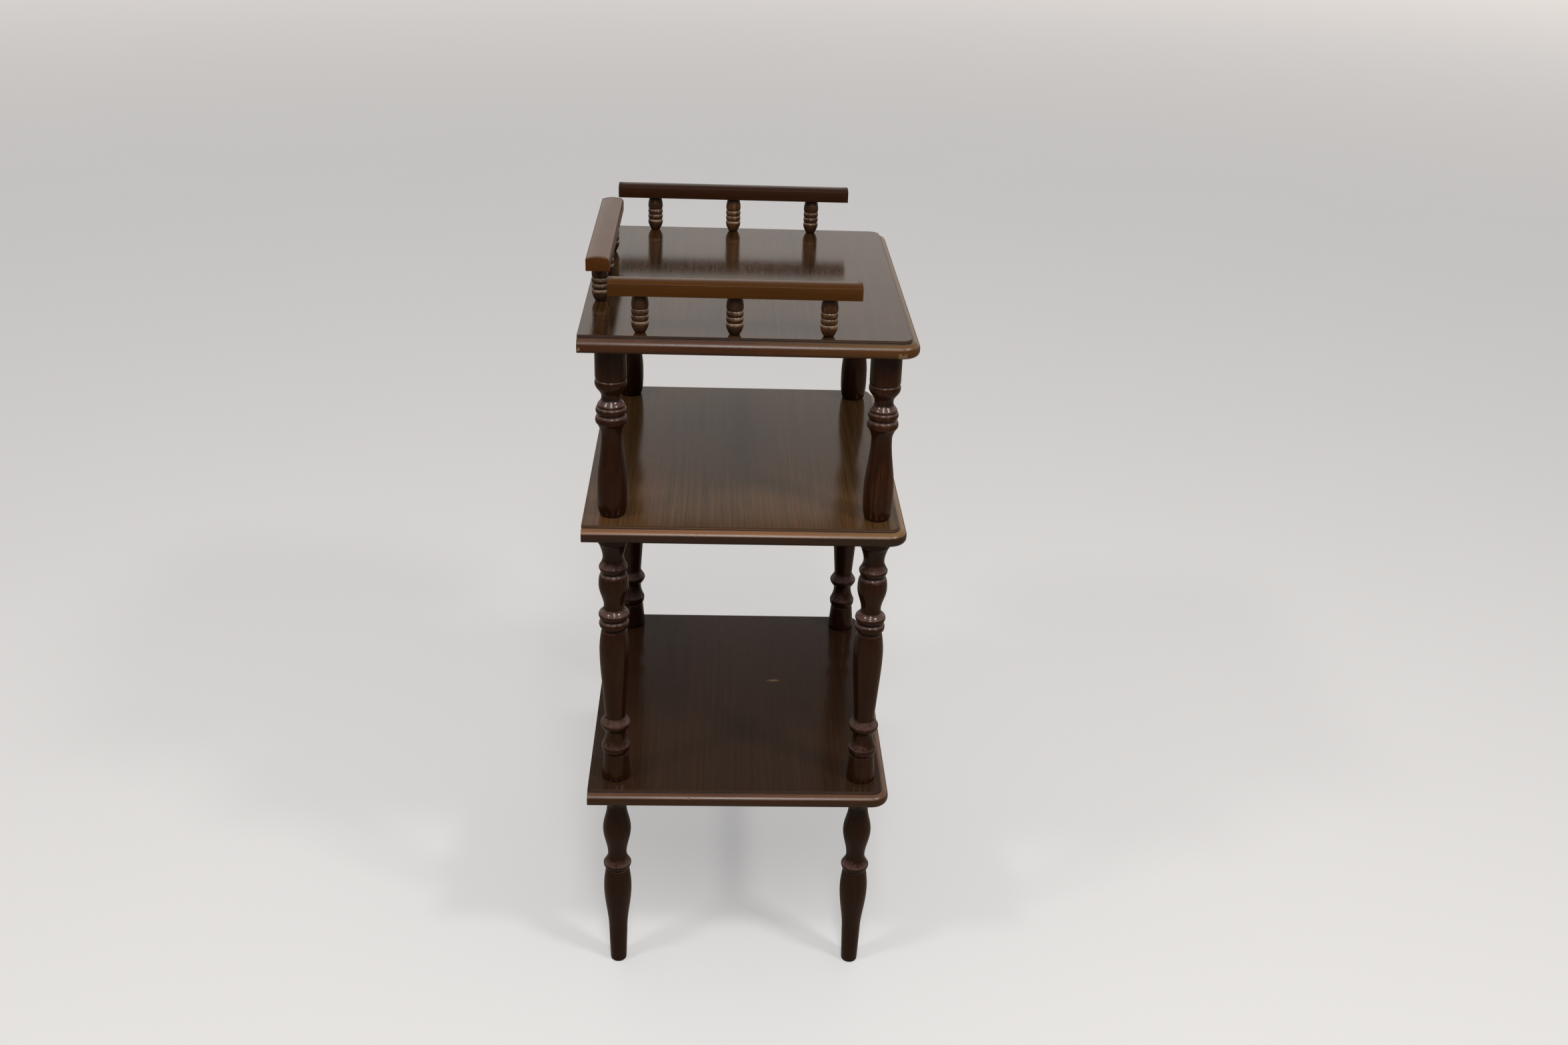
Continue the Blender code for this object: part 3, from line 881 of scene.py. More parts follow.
# Tint of each moulding's lower half against its upper one: painted shade, darker where less light
# falls
EDGING_FOOT_SHADES = {"bottom_shelf": (0.34, 0.25, 0.14), "middle_shelf": (0.15, 0.13, 0.14),
               "top_shelf": (0.66, 0.46, 0.24)}


def edging_finish(name, colours):
    """Return the stained moulding of one shelf's edges, with its grain along them."""
    finish = Finish(f"{name}_moulding", ior=EDGING_IORS[name])
    way = finish.direction("way")
    place = finish.place()
    relief = finish.value("relief")
    bare = finish.value("bare")
    across = finish.part(way, "Y")
    # Mask for the painted shade along the step under the face's arris
    arris = 1.0 - across.between(*EDGING_STEP_SHADE)
    # Mask for the painted shade of the moulding's lower half
    foot = across.between(*EDGING_SHADED_FOOT)
    streaks = finish.noise(way, EDGING_STREAKS, 3.0, 0.6)
    bands = finish.noise(way, EDGING_BANDS, 2.0)
    blotches = finish.noise(place, 45, 3.0)

    base = getattr(colours, name.replace("shelf", "edging"))
    faded = finish.part(place, "Y").between(*EDGING_FADE) * EDGING_FADES[name]
    colour = finish.mix(faded + (blotches - 0.5) * 0.4, base, colours.faded_edging)
    worn = (relief - arris * 2.0 + (blotches - 0.5) * 1.6).between(0.55, 1.35)
    colour = colour.mixed(colour * (1.35, 1.4, 1.5), worn)
    # Painted shade: the lower half, below the nose, is darkened
    colour = colour.mixed(colour * EDGING_FOOT_SHADES[name], foot)
    colour = colour * (streaks * 0.9 + bands * 0.5 + 0.3)
    # Painted shade and grime in the hollow at the step's foot
    grooved = (0 - relief).between(0.10, 0.65)
    colour = colour.mixed(colours.grime_and_shade, grooved * 0.9)
    # Painted shade: the step below the face's arris is darkened to a dark line
    colour = colour.mixed(scaled(colours.veneer_dark, 0.8), arris * 0.9)
    rough_wood = finish.noise(place, BARE_FIBRES, 2.0)
    pale = finish.mix(rough_wood, scaled(colours.bare_wood, 0.45), colours.bare_wood)
    colour = colour.mixed(pale, bare)
    finish.feed("Base Color", colour)

    dullness = streaks * 0.08 + blotches * 0.06 + arris * 0.30
    finish.feed("Roughness", dullness + 0.23)
    ripple = finish.noise(place, 300, 3.0)
    finish.emboss((streaks, EDGING_GRAIN_DEPTH), (ripple, EDGING_RIPPLE_DEPTH))
    return finish.material


# The underside's figure, to the metre along X, Y and Z, and how deep its grain is
UNDERSIDE_STREAKS = (9, 420, 90)
UNDERSIDE_CLOUDS = (14, 20, 12)
UNDERSIDE_GRAIN_DEPTH = 0.05 * MM


def underside_finish(colours):
    """Return the thinly stained, unlacquered underside of the shelves."""
    finish = Finish("underside_stain")
    place = finish.place()
    streaks = finish.noise(place, UNDERSIDE_STREAKS, 3.0, 0.6)
    clouds = finish.noise(place, UNDERSIDE_CLOUDS, 3.0)
    dark, light = scaled(colours.veneer_dark, 1.2), scaled(colours.veneer_light, 0.9)
    colour = finish.mix(streaks, dark, light)
    finish.feed("Base Color", colour * (0.7 + clouds * 0.6))
    finish.feed("Roughness", streaks * 0.15 + 0.5)
    finish.emboss((streaks, UNDERSIDE_GRAIN_DEPTH))
    return finish.material


# A turning's figure, to the metre along X, Y and Z
TURNING_STREAKS = (230, 230, 9)
TURNING_FIBRES = (900, 900, 40)
TURNING_PORES = (1500, 1500, 70)
TURNING_BLOTCHES = (60, 60, 24)
TURNING_RINGS = (0, 0, 2600)
# How deep its grain, its tool marks and the lacquer's orange peel are
TURNING_GRAIN_DEPTH = 0.008 * MM
TURNING_RING_DEPTH = 0.006 * MM
TURNING_PEEL_DEPTH = 0.045 * MM
# Each turned finish: how strongly its lacquer mirrors, how strong its wear and painted sheen
# are, how much of the wear its crests take and of the painted sheen its upward flanks, and how
# rough it is
TURNING_LOOKS = {
    "post": (1.31, 0.60, 0.15, 1.45, 0.16),
    "spindle": (1.30, 0.80, 0.45, 1.30, 0.25),
}


def turned_finish(kind, colours):
    """Return a turning's glossy stained finish, darker in its grooves, worn on its crests and
    painted with a sheen on its upward flanks.
    """
    ior, wear, crest, flank, roughness = TURNING_LOOKS[kind]
    base, streak, worn = (getattr(colours, kind + end) for end in ("", "_streak", "_worn"))
    finish = Finish(f"{kind}_lacquer", ior=ior)
    place = finish.place()
    relief = finish.value("relief")
    facing = finish.value("facing")
    tone = finish.value("tone")
    streaks = finish.noise(place, TURNING_STREAKS, 3.0, 0.55, 0.3)
    fibres = finish.noise(place, TURNING_FIBRES, 2.0, 0.6)
    blotches = finish.noise(place, TURNING_BLOTCHES, 2.0)
    pores = finish.noise(place, TURNING_PORES, 1.0).between(0.62, 0.72)

    figure = streaks * 0.6 + fibres * 0.2 + blotches * 0.3
    colour = finish.mix((figure + tone * 0.12).between(0.42, 0.98), base, streak)
    colour = colour * (fibres * 0.3 + 0.85)
    colour = colour.mixed(scaled(streak, 1.9), tone.between(0.1, 1.0) * figure.between(0.5, 0.9))
    rag = finish.noise(place, 330, 2.0)
    broken = (blotches - 0.5) * 0.7 + (rag - 0.5) * 0.7
    # Worn where crests stand proud, and a painted sheen where flanks face up, broken up by noise
    rubbed = (relief * crest + facing * flank + broken).between(0.30, 1.00)
    colour = colour.mixed(worn, rubbed * wear)
    # Darker in grooves; on the spindles the relief is pushed down near each end, so this also paints
    # contact shadow there
    grooved = (0 - relief).between(0.45, 1.0)
    colour = colour.mixed(colours.grime_and_shade, grooved * 0.85)
    colour = colour.mixed(colours.grime_and_shade, pores * 0.3)
    finish.feed("Base Color", colour)

    dullness = fibres * 0.06 + blotches * 0.04 - rubbed * 0.04 + grooved * 0.15
    finish.feed("Roughness", dullness + roughness)
    peel = finish.noise(place, 480, 2.0)
    rings = finish.noise(place, TURNING_RINGS, 2.0)
    finish.emboss((fibres - pores * 0.6, TURNING_GRAIN_DEPTH), (rings, TURNING_RING_DEPTH),
                  (peel, TURNING_PEEL_DEPTH))
    return finish.material


# How each rail's colour departs from the common one
RAIL_TINTS = {"left_rail": (1.0, 1.0, 1.0), "back_rail": (1.15, 1.05, 1.5),
              "right_rail": (1.15, 0.95, 3.0)}
# A rail's figure, to the metre along and across it, and how many times as fine along it the streaks
# and fibres are on its ends
RAIL_STREAKS = (12, 420, 420)
RAIL_FIBRES = (60, 1700, 1700)
RAIL_BLOTCHES = (30, 70, 70)
END_FINENESS = 60.0
# How deep its grain is along it and on its ends, and how deep the lacquer's orange peel is
RAIL_GRAIN_DEPTH = 0.006 * MM
END_GRAIN_DEPTH = 0.02 * MM
RAIL_PEEL_DEPTH = 0.015 * MM


def rail_finish(name, colours, end_grain):
    """Return a rail's red-brown finish along its length, or on its sawn ends."""
    finish = Finish(f"{name}_end_lacquer" if end_grain else f"{name}_lacquer",
                    ior=RAIL_END_IOR if end_grain else RAIL_IORS[name])
    way = finish.direction("way")
    tone = finish.value("tone")
    relief = finish.value("relief")
    fineness = END_FINENESS if end_grain else 1.0
    streaks = finish.noise(way, (RAIL_STREAKS[0] * fineness, *RAIL_STREAKS[1:]), 3.0, 0.6, 0.2)
    fibres = finish.noise(way, (RAIL_FIBRES[0] * fineness, *RAIL_FIBRES[1:]), 2.0, 0.6)
    blotches = finish.noise(way, RAIL_BLOTCHES, 2.0)

    base = tuple(part * tint for part, tint in zip(colours.rail, RAIL_TINTS[name]))
    colour = finish.mix(streaks.between(0.28, 0.75), scaled(base, 0.86), scaled(base, 1.14))
    colour = colour * (fibres * 0.16 + 0.92)
    dark = (base[0] * 0.36, base[1] * 0.42, base[2] * 0.75)
    colour = colour.mixed(dark, (0.25 - tone + (blotches - 0.5) * 0.6).between(-0.1, 0.9))
    rubbed = (relief + (blotches - 0.5) * 0.8).between(0.2, 1.0)
    colour = colour.mixed(scaled(base, 1.3), rubbed * 0.10)
    finish.feed("Base Color", colour)

    roughness = 0.26 if end_grain else 0.22
    finish.feed("Roughness", fibres * 0.06 + blotches * 0.04 + relief * 0.30 + roughness)
    peel = finish.noise(way, 500, 2.0)
    finish.emboss((fibres, END_GRAIN_DEPTH if end_grain else RAIL_GRAIN_DEPTH),
                  (peel, RAIL_PEEL_DEPTH))
    return finish.material


# The studs' steel: its drawn lines and the scale of its thread, to the metre, how deep the thread
# is, and its dark, light and stained colours
STEEL_LINES = (2400, 2400, 60)
THREAD_SCALE = 125.0
THREAD_DEPTH = 0.3 * MM
STEEL_DARK = (0.46, 0.47, 0.48)
STEEL_LIGHT = (0.62, 0.63, 0.64)
STEEL_STAIN = (0.20, 0.13, 0.09)


def steel_finish():
    """Return the bare turned steel of the screw studs."""
    finish = Finish("stud_steel_drawn", metallic=1.0)
    place = finish.place()
    drawn = finish.noise(place, STEEL_LINES, 2.0)
    stains = finish.noise(place, 260, 3.0)
    colour = finish.mix(drawn, STEEL_DARK, STEEL_LIGHT)
    finish.feed("Base Color", colour.mixed(STEEL_STAIN, stains.between(0.55, 0.75) * 0.5))
    finish.feed("Roughness", drawn * 0.2 + 0.25)
    thread = finish.node("ShaderNodeTexWave", {"bands_direction": "Z"},
                         {"Vector": place, "Scale": THREAD_SCALE})
    finish.emboss((thread, THREAD_DEPTH))
    return finish.material


# Shelves


# How far the moulded section reaches in over the face and the underside
FACE_LAP = 0.6 * MM
# The reach and the depth by which a line of the moulding counts as proud or hollow
EDGING_RELIEF = (1.2 * MM, 0.30 * MM)


def moulding_line(sizes, thickness):
    """Return the moulded edge's inset and height, from inside the face to inside the underside."""
    step_inset = sizes.ledge_width + sizes.nose_width
    ledge_height = thickness - sizes.step_drop
    nose_foot = ledge_height - sizes.nose_drop
    line = [(step_inset + FACE_LAP, thickness), (step_inset, thickness),
            (step_inset, ledge_height)]
    for angle in quarter_turn(NOSE_STEPS):
        line.append((sizes.nose_width * (1 - math.sin(angle)),
                     nose_foot + sizes.nose_drop * math.cos(angle)))
    for angle in quarter_turn(NOSE_STEPS):
        line.append((sizes.round_width * (1 - math.cos(angle)),
                     sizes.round_height * (1 - math.sin(angle))))
    line.append((sizes.round_width + FACE_LAP, 0.0))
    return eased_points(line, sizes.ease)


def outline_places(sizes, knocks):
    """Return stations round a shelf's left end, front and right end, from back corner to corner.

    A station is a place on the edge and the direction out from it. Stations stand closer
    together where the edge has a knock.
    """
    half_length, half_depth = BOARD.x / 2, BOARD.y / 2
    radius = sizes.corner_radius
    stations = []

    def straight(start, end, out):
        length = (end - start).length
        ways = set(np.linspace(0, 1, max(2, int(length / LONGEST_STEP))))
        for (x, y, _), width, _, _ in knocks:
            off = Vector((x, y)) - start
            reach = KNOCK_REACH * width
            near = off.dot(end - start) / length + np.arange(-reach, reach, KNOCK_GAP)
            if abs(off.dot(out)) < KNOCK_RANGE:
                ways |= {way for way in near / length if 0 < way < 1}
        stations.extend((start.lerp(end, way), out) for way in sorted(ways))

    def corner(centre, first_angle):
        for angle in quarter_turn(CORNER_STEPS)[1:-1]:
            out = Vector((math.cos(first_angle + angle), math.sin(first_angle + angle)))
            stations.append((centre + out * radius, out))

    near_x, near_y = half_length - radius, radius - half_depth
    straight(Vector((-half_length, half_depth)), Vector((-half_length, near_y)), Vector((-1, 0)))
    corner(Vector((-near_x, near_y)), math.pi)
    straight(Vector((-near_x, -half_depth)), Vector((near_x, -half_depth)), Vector((0, -1)))
    corner(Vector((near_x, near_y)), math.pi * 3 / 2)
    straight(Vector((half_length, near_y)), Vector((half_length, half_depth)), Vector((1, 0)))
    return stations


def knock_depth(point, knocks):
    """Return how deep a point of the moulding is knocked in, from 0 at the knock's rim."""
    depth = 0.0
    for place, width, height, deepest in knocks:
        ragged = 1 + 0.45 * noise.noise(point * KNOCK_RIM)
        off = point - Vector(place)
        away = math.hypot(off.x, off.y, off.z * width / height) / (width / 2 * ragged)
        if away < 1:
            uneven = 0.8 + 0.3 * noise.noise(point * KNOCK_FLOOR)
            depth = max(depth, deepest * (1 - away ** 2) ** 0.5 * uneven)
    return depth


def shelf_mesh(name, sizes):
    """Return the mesh of one shelf board with its fine moulding."""
    knocks = CHIPS.get(name, ())
    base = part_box(name)[0].z
    section = moulding_line(sizes, BOARD.z)
    stations = outline_places(sizes, knocks)
    travelled = ways_along([edge for edge, _ in stations])
    across = ways_along(section)

    even = evenly_spaced(section, LINE_GAP)
    relief_reach, relief_depth = EDGING_RELIEF
    proud = relief_of(even, round(relief_reach / LINE_GAP), relief_depth)
    even_ways = np.linspace(0, across[-1], len(even))
    section_relief = np.interp(across, even_ways, proud)

    points, ways, reliefs, bare = [], [], [], []
    for (inset, height), strip, relief in zip(section, across, section_relief):
        for (edge, out), along in zip(stations, travelled):
            x, y = edge - out * inset
            point = Vector((x, y, base + height))
            depth = knock_depth(point, knocks)
            if depth:
                point -= Vector((out.x, out.y, (height / BOARD.z - 0.5))).normalized() * depth
            points.append(point)
            ways.append((along, strip, base))
            reliefs.append(relief)
            bare.append(min(1.0, depth / BARE_DEPTH))
    width = len(stations)
    strips = strip_faces(len(section), width, closed=False)
    starts = range(0, len(points), width)
    back_edge = [*starts, *(start + width - 1 for start in reversed(starts))]
    top, bottom = range(width), range(len(points) - width, len(points))
    faces = [list(top), *strips, list(reversed(bottom)), back_edge]
    # The face's material takes in the first strip, and the edging's has the rest and the back edge
    kinds = [0] * width + [1] * (len(strips) - width + 1) + [2, 1]
    tones = np.full(len(points), TONES[name])
    mesh = mesh_of(name, points, faces, relief=reliefs, tone=tones, way=ways, bare=bare)
    mesh.polygons.foreach_set("material_index", kinds)
    return mesh


def shelf_holes(name, turning):
    """Return the stud holes through a shelf and, in the top one, the pins' holes too."""
    low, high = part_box(name)
    is_top = name == "top_shelf"
    holes = []
    foot, top = low.z - DRILL_OVERRUN, high.z + DRILL_OVERRUN
    for corner in CORNERS:
        post = node_middle(f"leg_{corner}")
        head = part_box(f"top_stud_{corner}")[1].z + BORE_OVERRUN if is_top else top
        holes.append((post.x, post.y, foot, head, turning.stud_bore))
    if is_top:
        for spindle in sum(SPINDLES.values(), []):
            pin_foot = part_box(spindle)[0].z - BORE_OVERRUN
            holes.append(pin_hole(spindle, pin_foot, top, turning))
    return holes


class ETAGERE_OT_shelves(bpy.types.Operator):
    """Make the three shelves with their fine mouldings"""

    bl_idname = "etagere.shelves"
    bl_label = "Shelves"

    def execute(self, context):
        settings = context.scene.etagere
        colours = settings.stain
        underside = underside_finish(colours)
        for name in SHELVES:
            face = veneer_finish(name, colours, SCRATCHES[name])
            edging = edging_finish(name, colours)
            mesh = shelf_mesh(name, settings.shelf)
            piece = place_piece(name, mesh, (face, edging, underside))
            drill(piece, shelf_holes(name, settings.turning))
        return {"FINISHED"}


# Turnings


# Each kind of post: its foot, its rows and whether its foot has a stud hole
POSTS = {
    "leg": (LEG_FOOT, LEG_ROWS, False),
    "middle_column": (MIDDLE_FOOT, MIDDLE_ROWS, True),
    "upper_column": (UPPER_FOOT, UPPER_ROWS, True),
}
# How far arrises are softened, and the reach and the depth by which a line counts as proud or
# hollow
POST_SOFTNESS = (0.30 * MM, 2.2 * MM, 0.42 * MM)
SPINDLE_SOFTNESS = (0.22 * MM, 2.0 * MM, 0.30 * MM)
# Radius of the flat middle of a leg's foot
SOLE_RADIUS = 1.5 * MM
# How far from its ends a spindle isn't worn, and how far it is darkened by painted contact shadow
# and grime
SPINDLE_END_COVER = 2.4 * MM
SPINDLE_END_SHADE_AND_GRIME = 5.0 * MM


def closed_turning(name, line, relief, ends, sides, lift=0.0):
    """Return the mesh of a turning, its line closed by two ends, at its node's place, lifted."""
    foot_end, head_end = ends
    full = foot_end + [tuple(point) for point in line] + head_end
    reliefs = [0.0] * len(foot_end) + list(relief) + [0.0] * len(head_end)
    middle = node_middle(name)
    place = Vector((middle.x, middle.y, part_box(name)[0].z + lift))
    return turned_mesh(name, full, reliefs, sides, place)


def turn_posts(kind, settings):
    """Turn the four posts of one kind, with their stud holes."""
    sizes = settings.turning
    foot, rows, has_foot_bore = POSTS[kind]
    material = bpy.data.materials.get("post_lacquer") or turned_finish("post", settings.stain)
    bore, depth = sizes.stud_bore, sizes.stud_bore_depth
    for corner in CORNERS:
        name = f"{kind}_{corner}"
        low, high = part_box(name)
        length = high.z - low.z
        outer = turned_line(foot, rows, length, sizes.post_radius, sizes.bead_fullness)
        outer = [(bore if has_foot_bore else SOLE_RADIUS, 0.0)] + outer + [(bore, length)]
        line, relief = softened_line(outer, *POST_SOFTNESS)
        ends = ([(0.0, depth), (bore, depth)] if has_foot_bore else [(0.0, 0.0)],
                [(bore, length - depth), (0.0, length - depth)])
        mesh = closed_turning(name, line, relief, ends, POST_SIDES)
        place_piece(name, mesh, (material,))


class ETAGERE_OT_legs(bpy.types.Operator):
    """Turn the four legs"""

    bl_idname = "etagere.legs"
    bl_label = "Legs"

    def execute(self, context):
        turn_posts("leg", context.scene.etagere)
        return {"FINISHED"}


class ETAGERE_OT_middle_columns(bpy.types.Operator):
    """Turn the four columns between the bottom and middle shelves"""

    bl_idname = "etagere.middle_columns"
    bl_label = "Middle columns"

    def execute(self, context):
        turn_posts("middle_column", context.scene.etagere)
        return {"FINISHED"}


class ETAGERE_OT_upper_columns(bpy.types.Operator):
    """Turn the four columns between the middle and top shelves"""

    bl_idname = "etagere.upper_columns"
    bl_label = "Upper columns"

    def execute(self, context):
        turn_posts("upper_column", context.scene.etagere)
        return {"FINISHED"}


class ETAGERE_OT_spindles(bpy.types.Operator):
    """Turn the gallery's nine spindles, with a pin at each end"""

    bl_idname = "etagere.spindles"
    bl_label = "Spindles"

    def execute(self, context):
        settings = context.scene.etagere
        sizes = settings.turning
        material = turned_finish("spindle", settings.stain)
        pin, radius = sizes.pin_length, sizes.pin_radius
        for name in sum(SPINDLES.values(), []):
            low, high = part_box(name)
            height = high.z - low.z - 2 * pin
            outer = turned_line(SPINDLE_FOOT, SPINDLE_ROWS, height, sizes.spindle_radius,
                                sizes.bead_fullness)
            outer = [(radius, 0.0)] + outer + [(radius, height)]
            line, relief = softened_line(outer, *SPINDLE_SOFTNESS)
            from_end = np.minimum(line[:, 1], height - line[:, 1])
            relief = np.where(from_end < SPINDLE_END_COVER, np.minimum(relief, 0), relief)
            # Painted contact shadow and grime: the relief is pushed down towards each end, which
            # darkens it
            relief = relief - np.clip(1 - from_end / SPINDLE_END_SHADE_AND_GRIME, 0, 1)
            ends = ([(0.0, -pin), (radius, -pin)], [(radius, height + pin), (0.0, height + pin)])
            mesh = closed_turning(name, line, relief, ends, SPINDLE_SIDES, pin)
            place_piece(name, mesh, (material,))
        return {"FINISHED"}


# Rails


# How near its crisp arris or its end a rail is worn
RAIL_WEAR_REACH = 1.2 * MM


def rail_line(sizes):
    """Return the rail's section, once round, as across and up: square at +Y, rounded at -Y."""
    half = sizes.width / 2
    round_start = sizes.round_radius - half
    line = [(0.0, 0.0), (half, 0.0)]
    for step in range(CROWN_STEPS + 1):
        across = half + (round_start - half) * step / CROWN_STEPS
        line.append((across, sizes.side_height + sizes.crown * (1 - (across / half) ** 2)))
    round_head = line[-1][1]
    for angle in quarter_turn(ROUND_STEPS)[1:]:
        line.append((round_start - sizes.round_radius * math.sin(angle),
                     round_head - sizes.round_radius * (1 - math.cos(angle))))
    line += [(-half, 0.0), (0.0, 0.0)]
    return eased_points(line, sizes.ease)[:-1]


def rail_mesh(name, sizes):
    """Return the mesh of one rail with eased arrises, at its CAD node's place."""
    low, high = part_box(name)
    middle = (low + high) / 2
    turned = high.y - low.y > high.x - low.x
    half_length = max(high.x - low.x, high.y - low.y) / 2
    section = rail_line(sizes)
    height = high.z - low.z
    centre = Vector((0.0, height / 2))
    stations = [(sizes.ease * (1 - math.sin(angle)), sizes.ease * (1 - math.cos(angle)))
                for angle in quarter_turn(EASE_STEPS)]
    rows = [(-half_length + back, inset) for inset, back in stations]
    inner = np.linspace(-half_length + sizes.ease, half_length - sizes.ease, RAIL_STEPS + 1)
    rows += [(along, 0.0) for along in inner[1:-1]]
    rows += [(half_length - back, inset) for inset, back in reversed(stations)]

    turn = Matrix.Rotation(math.pi / 2 if turned else 0.0, 4, "Z")
    points, ways, reliefs = [], [], []
    for along, inset in rows:
        for across, up in section:
            shift = (centre - Vector((across, up))).normalized() * inset
            place = turn @ Vector((along, across + shift.x, up + shift.y))
            points.append((middle.x + place.x, middle.y + place.y, low.z + place.z))
            ways.append((along + middle.x, across + middle.y, up + low.z))
            near_arris = min(math.dist((across, up), (sizes.width / 2, sizes.side_height)),
                             half_length - abs(along))
            reliefs.append(max(0.0, 1 - near_arris / RAIL_WEAR_REACH))
    width = len(section)
    faces = strip_faces(len(rows), width)
    kinds = [0] * len(faces) + [1, 1]
    faces.append(list(range(width))[::-1])
    faces.append(list(range(len(points) - width, len(points))))
    tones = np.full(len(points), TONES[name])
    mesh = mesh_of(name, points, faces, relief=reliefs, tone=tones, way=ways)
    mesh.polygons.foreach_set("material_index", kinds)
    return mesh


class ETAGERE_OT_rails(bpy.types.Operator):
    """Make the three gallery rails"""

    bl_idname = "etagere.rails"
    bl_label = "Rails"

    def execute(self, context):
        settings = context.scene.etagere
        for name in RAILS:
            along = rail_finish(name, settings.stain, False)
            ends = rail_finish(name, settings.stain, True)
            piece = place_piece(name, rail_mesh(name, settings.rail), (along, ends))
            foot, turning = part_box(name)[0].z - DRILL_OVERRUN, settings.turning
            holes = [pin_hole(spindle, foot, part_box(spindle)[1].z + BORE_OVERRUN, turning)
                     for spindle in SPINDLES[name]]
            drill(piece, holes)
        return {"FINISHED"}


class ETAGERE_OT_studs(bpy.types.Operator):
    """Finish the steel studs inside the posts"""

    bl_idname = "etagere.studs"
    bl_label = "Studs"

    def execute(self, context):
        steel = steel_finish()
        for name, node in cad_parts.items():
            if "_stud_" in name:
                for slot in node.material_slots:
                    slot.material = steel
        return {"FINISHED"}


# Studio


# Between which parts of X and of Z of its direction gloss sees more and more of the backdrop
BEYOND_X = (-0.4, 0.3)
BEYOND_Z = (0.53, 0.34)
# The ceiling lamps: place, size, and share of the lamp power
LAMPS = {
    "lamp_above_camera": ((-1.50, -0.05, 2.20), (0.30, 1.20), 1.25),
    "lamp_front": ((-1.10, -1.35, 2.20), (0.36, 0.20), 1.0),
    "lamp_back": ((-1.00, 1.40, 2.25), (0.36, 0.20), 0.7),
}
LAMP_TARGET = Vector((0.0, 0.0, 0.4))
LAMP_COLOUR = (1.0, 0.985, 0.96)
FLOOR_REACH = 14.0
# From which distance to which the floor runs into the backdrop
FLOOR_FADE = (3.0, 13.0)
FLOOR_MOTTLE = 0.015
# In millimetres, as Blender takes it
SENSOR_WIDTH = 36.0


def world_light(studio):
    """Light the scene softly from above, and show the backdrop to the camera and in gloss.

    Gloss shows the backdrop in full low beyond the object, and dimmer high up and behind the
    camera.
    """
    world = bpy.data.worlds.new("studio")
    bpy.context.scene.world = world
    world.use_nodes = True
    sky = Shading(world.node_tree, "Background")
    way = sky.node("ShaderNodeTexCoord", output="Generated")
    beyond = sky.part(way, "X").between(*BEYOND_X) * sky.part(way, "Z").between(*BEYOND_Z)
    mirrored = beyond * (1.0 - studio.room_dimness) + studio.room_dimness
    glossy = sky.ray("Glossy")
    seen = sky.ray("Camera") + sky.ray("Transmission")
    overhead = sky.part(way, "Z").between(0.0, 1.0)
    even = (overhead * 0.65 + 0.55) * (studio.sky_light / max(studio.backdrop))
    sky.feed("Strength", seen + glossy * mirrored + (1.0 - seen - glossy) * even)
    sky.feed("Color", studio.backdrop)


def add_lamp(name, place, size, power):
    """Hang one rectangular lamp that faces the object."""
    lamp = bpy.data.lights.new(name, "AREA")
    lamp.shape = "RECTANGLE"
    lamp.size, lamp.size_y = size
    lamp.energy = power
    lamp.color = LAMP_COLOUR
    holder = add_object(name, lamp)
    holder.location = place
    holder.rotation_euler = (LAMP_TARGET - Vector(place)).to_track_quat("-Z", "Y").to_euler()


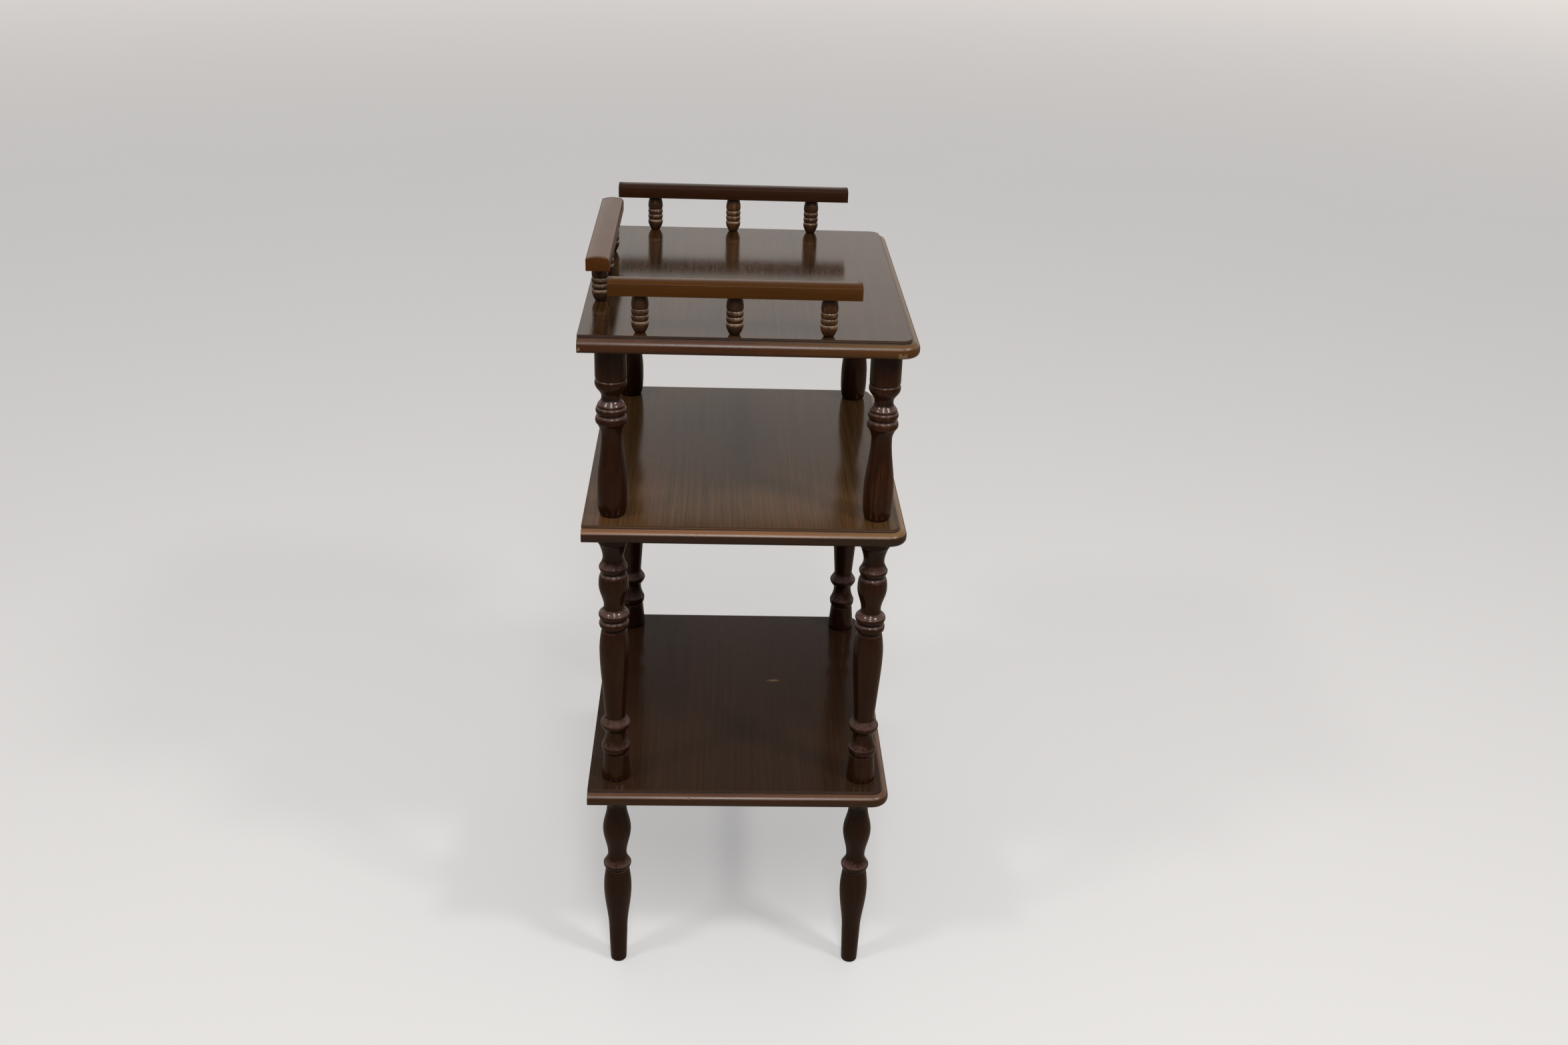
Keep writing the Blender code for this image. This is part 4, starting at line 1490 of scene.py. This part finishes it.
class ETAGERE_OT_studio(bpy.types.Operator):
    """Add the pale floor, the backdrop, the lamps and the camera"""

    bl_idname = "etagere.studio"
    bl_label = "Studio"

    def execute(self, context):
        studio = context.scene.etagere.studio
        context.scene.view_settings.view_transform = "Standard"
        world_light(studio)
        self.add_floor(studio)
        for name, (place, size, share) in LAMPS.items():
            add_lamp(name, place, size, studio.lamp_power * share)
        self.add_camera(studio)
        return {"FINISHED"}

    def add_floor(self, studio):
        """Lay a wide plain floor."""
        corners = [(x * FLOOR_REACH, y * FLOOR_REACH, 0.0)
                   for x, y in ((-1, -1), (1, -1), (1, 1), (-1, 1))]
        mesh = bpy.data.meshes.new("floor")
        mesh.from_pydata(corners, [], [(0, 1, 2, 3)])
        floor = add_object("floor", mesh)
        finish = Finish("floor_paint", roughness=0.6)
        place = finish.place()
        mottle = finish.noise(place, 3, 3.0)
        pale = finish.mix(mottle, scaled(studio.floor, 1 - FLOOR_MOTTLE),
                          scaled(studio.floor, 1 + FLOOR_MOTTLE))
        seen = (finish.ray("Camera") + finish.ray("Transmission")
                + finish.ray("Glossy") * studio.floor_gloss)
        finish.feed("Base Color", finish.mix(seen, studio.floor_bounce, pale))
        finish.feed("Emission Strength", 1.0)
        far = place.length().between(*FLOOR_FADE)
        glow = finish.mix(far, studio.floor_glow, studio.far_glow)
        finish.feed("Emission Color", finish.mix(seen, (0, 0, 0), glow))
        mesh.materials.append(finish.material)

    def add_camera(self, studio):
        """Stand the camera at the photograph's place and angle."""
        yaw, pitch, roll = studio.camera_yaw, studio.camera_pitch, studio.camera_roll
        ahead = Vector((math.cos(yaw) * math.cos(pitch), math.sin(yaw) * math.cos(pitch),
                        -math.sin(pitch)))
        right = ahead.cross(Vector((0, 0, 1))).normalized()
        up = right.cross(ahead)
        rolled_right = math.cos(roll) * right + math.sin(roll) * up
        rolled_up = math.cos(roll) * up - math.sin(roll) * right
        turn = Matrix((rolled_right, rolled_up, -ahead)).transposed()
        lens = bpy.data.cameras.new("camera")
        lens.sensor_width = SENSOR_WIDTH
        lens.lens = studio.camera_lens
        camera = add_object("camera", lens)
        camera.matrix_world = Matrix.Translation(studio.camera_place) @ turn.to_4x4()
        bpy.context.scene.camera = camera


class ETAGERE_PT_sidebar(bpy.types.Panel):
    """Lists the steps and what they can change"""

    bl_label = "Etagere"
    bl_space_type = "VIEW_3D"
    bl_region_type = "UI"
    bl_category = "Etagere"

    def draw(self, context):
        settings = context.scene.etagere
        for operator in OPERATORS:
            self.layout.operator(operator.bl_idname)
        for title, group in (("Shelves", settings.shelf), ("Turnings", settings.turning),
                             ("Rails", settings.rail), ("Stains", settings.stain),
                             ("Studio", settings.studio)):
            box = self.layout.box()
            box.label(text=title)
            for name in group.bl_rna.properties.keys():
                if name not in ("rna_type", "name"):
                    box.prop(group, name)


OPERATORS = (
    ETAGERE_OT_shelves,
    ETAGERE_OT_legs,
    ETAGERE_OT_middle_columns,
    ETAGERE_OT_upper_columns,
    ETAGERE_OT_spindles,
    ETAGERE_OT_rails,
    ETAGERE_OT_studs,
    ETAGERE_OT_studio,
)
CLASSES = (ShelfSizes, TurningSizes, RailSizes, StainColours, StudioSetup, EtagereSettings,
           *OPERATORS, ETAGERE_PT_sidebar)


def register():
    """Register the classes and hang the settings on the scene."""
    for item in CLASSES:
        bpy.utils.register_class(item)
    bpy.types.Scene.etagere = PointerProperty(type=EtagereSettings)


def unregister():
    """Take the settings and classes away again."""
    del bpy.types.Scene.etagere
    for item in reversed(CLASSES):
        bpy.utils.unregister_class(item)


def main():
    """Dress the whole etagere."""
    register()
    for operator in OPERATORS:
        group, name = operator.bl_idname.split(".")
        getattr(getattr(bpy.ops, group), name)()


if __name__ == "__main__":
    main()
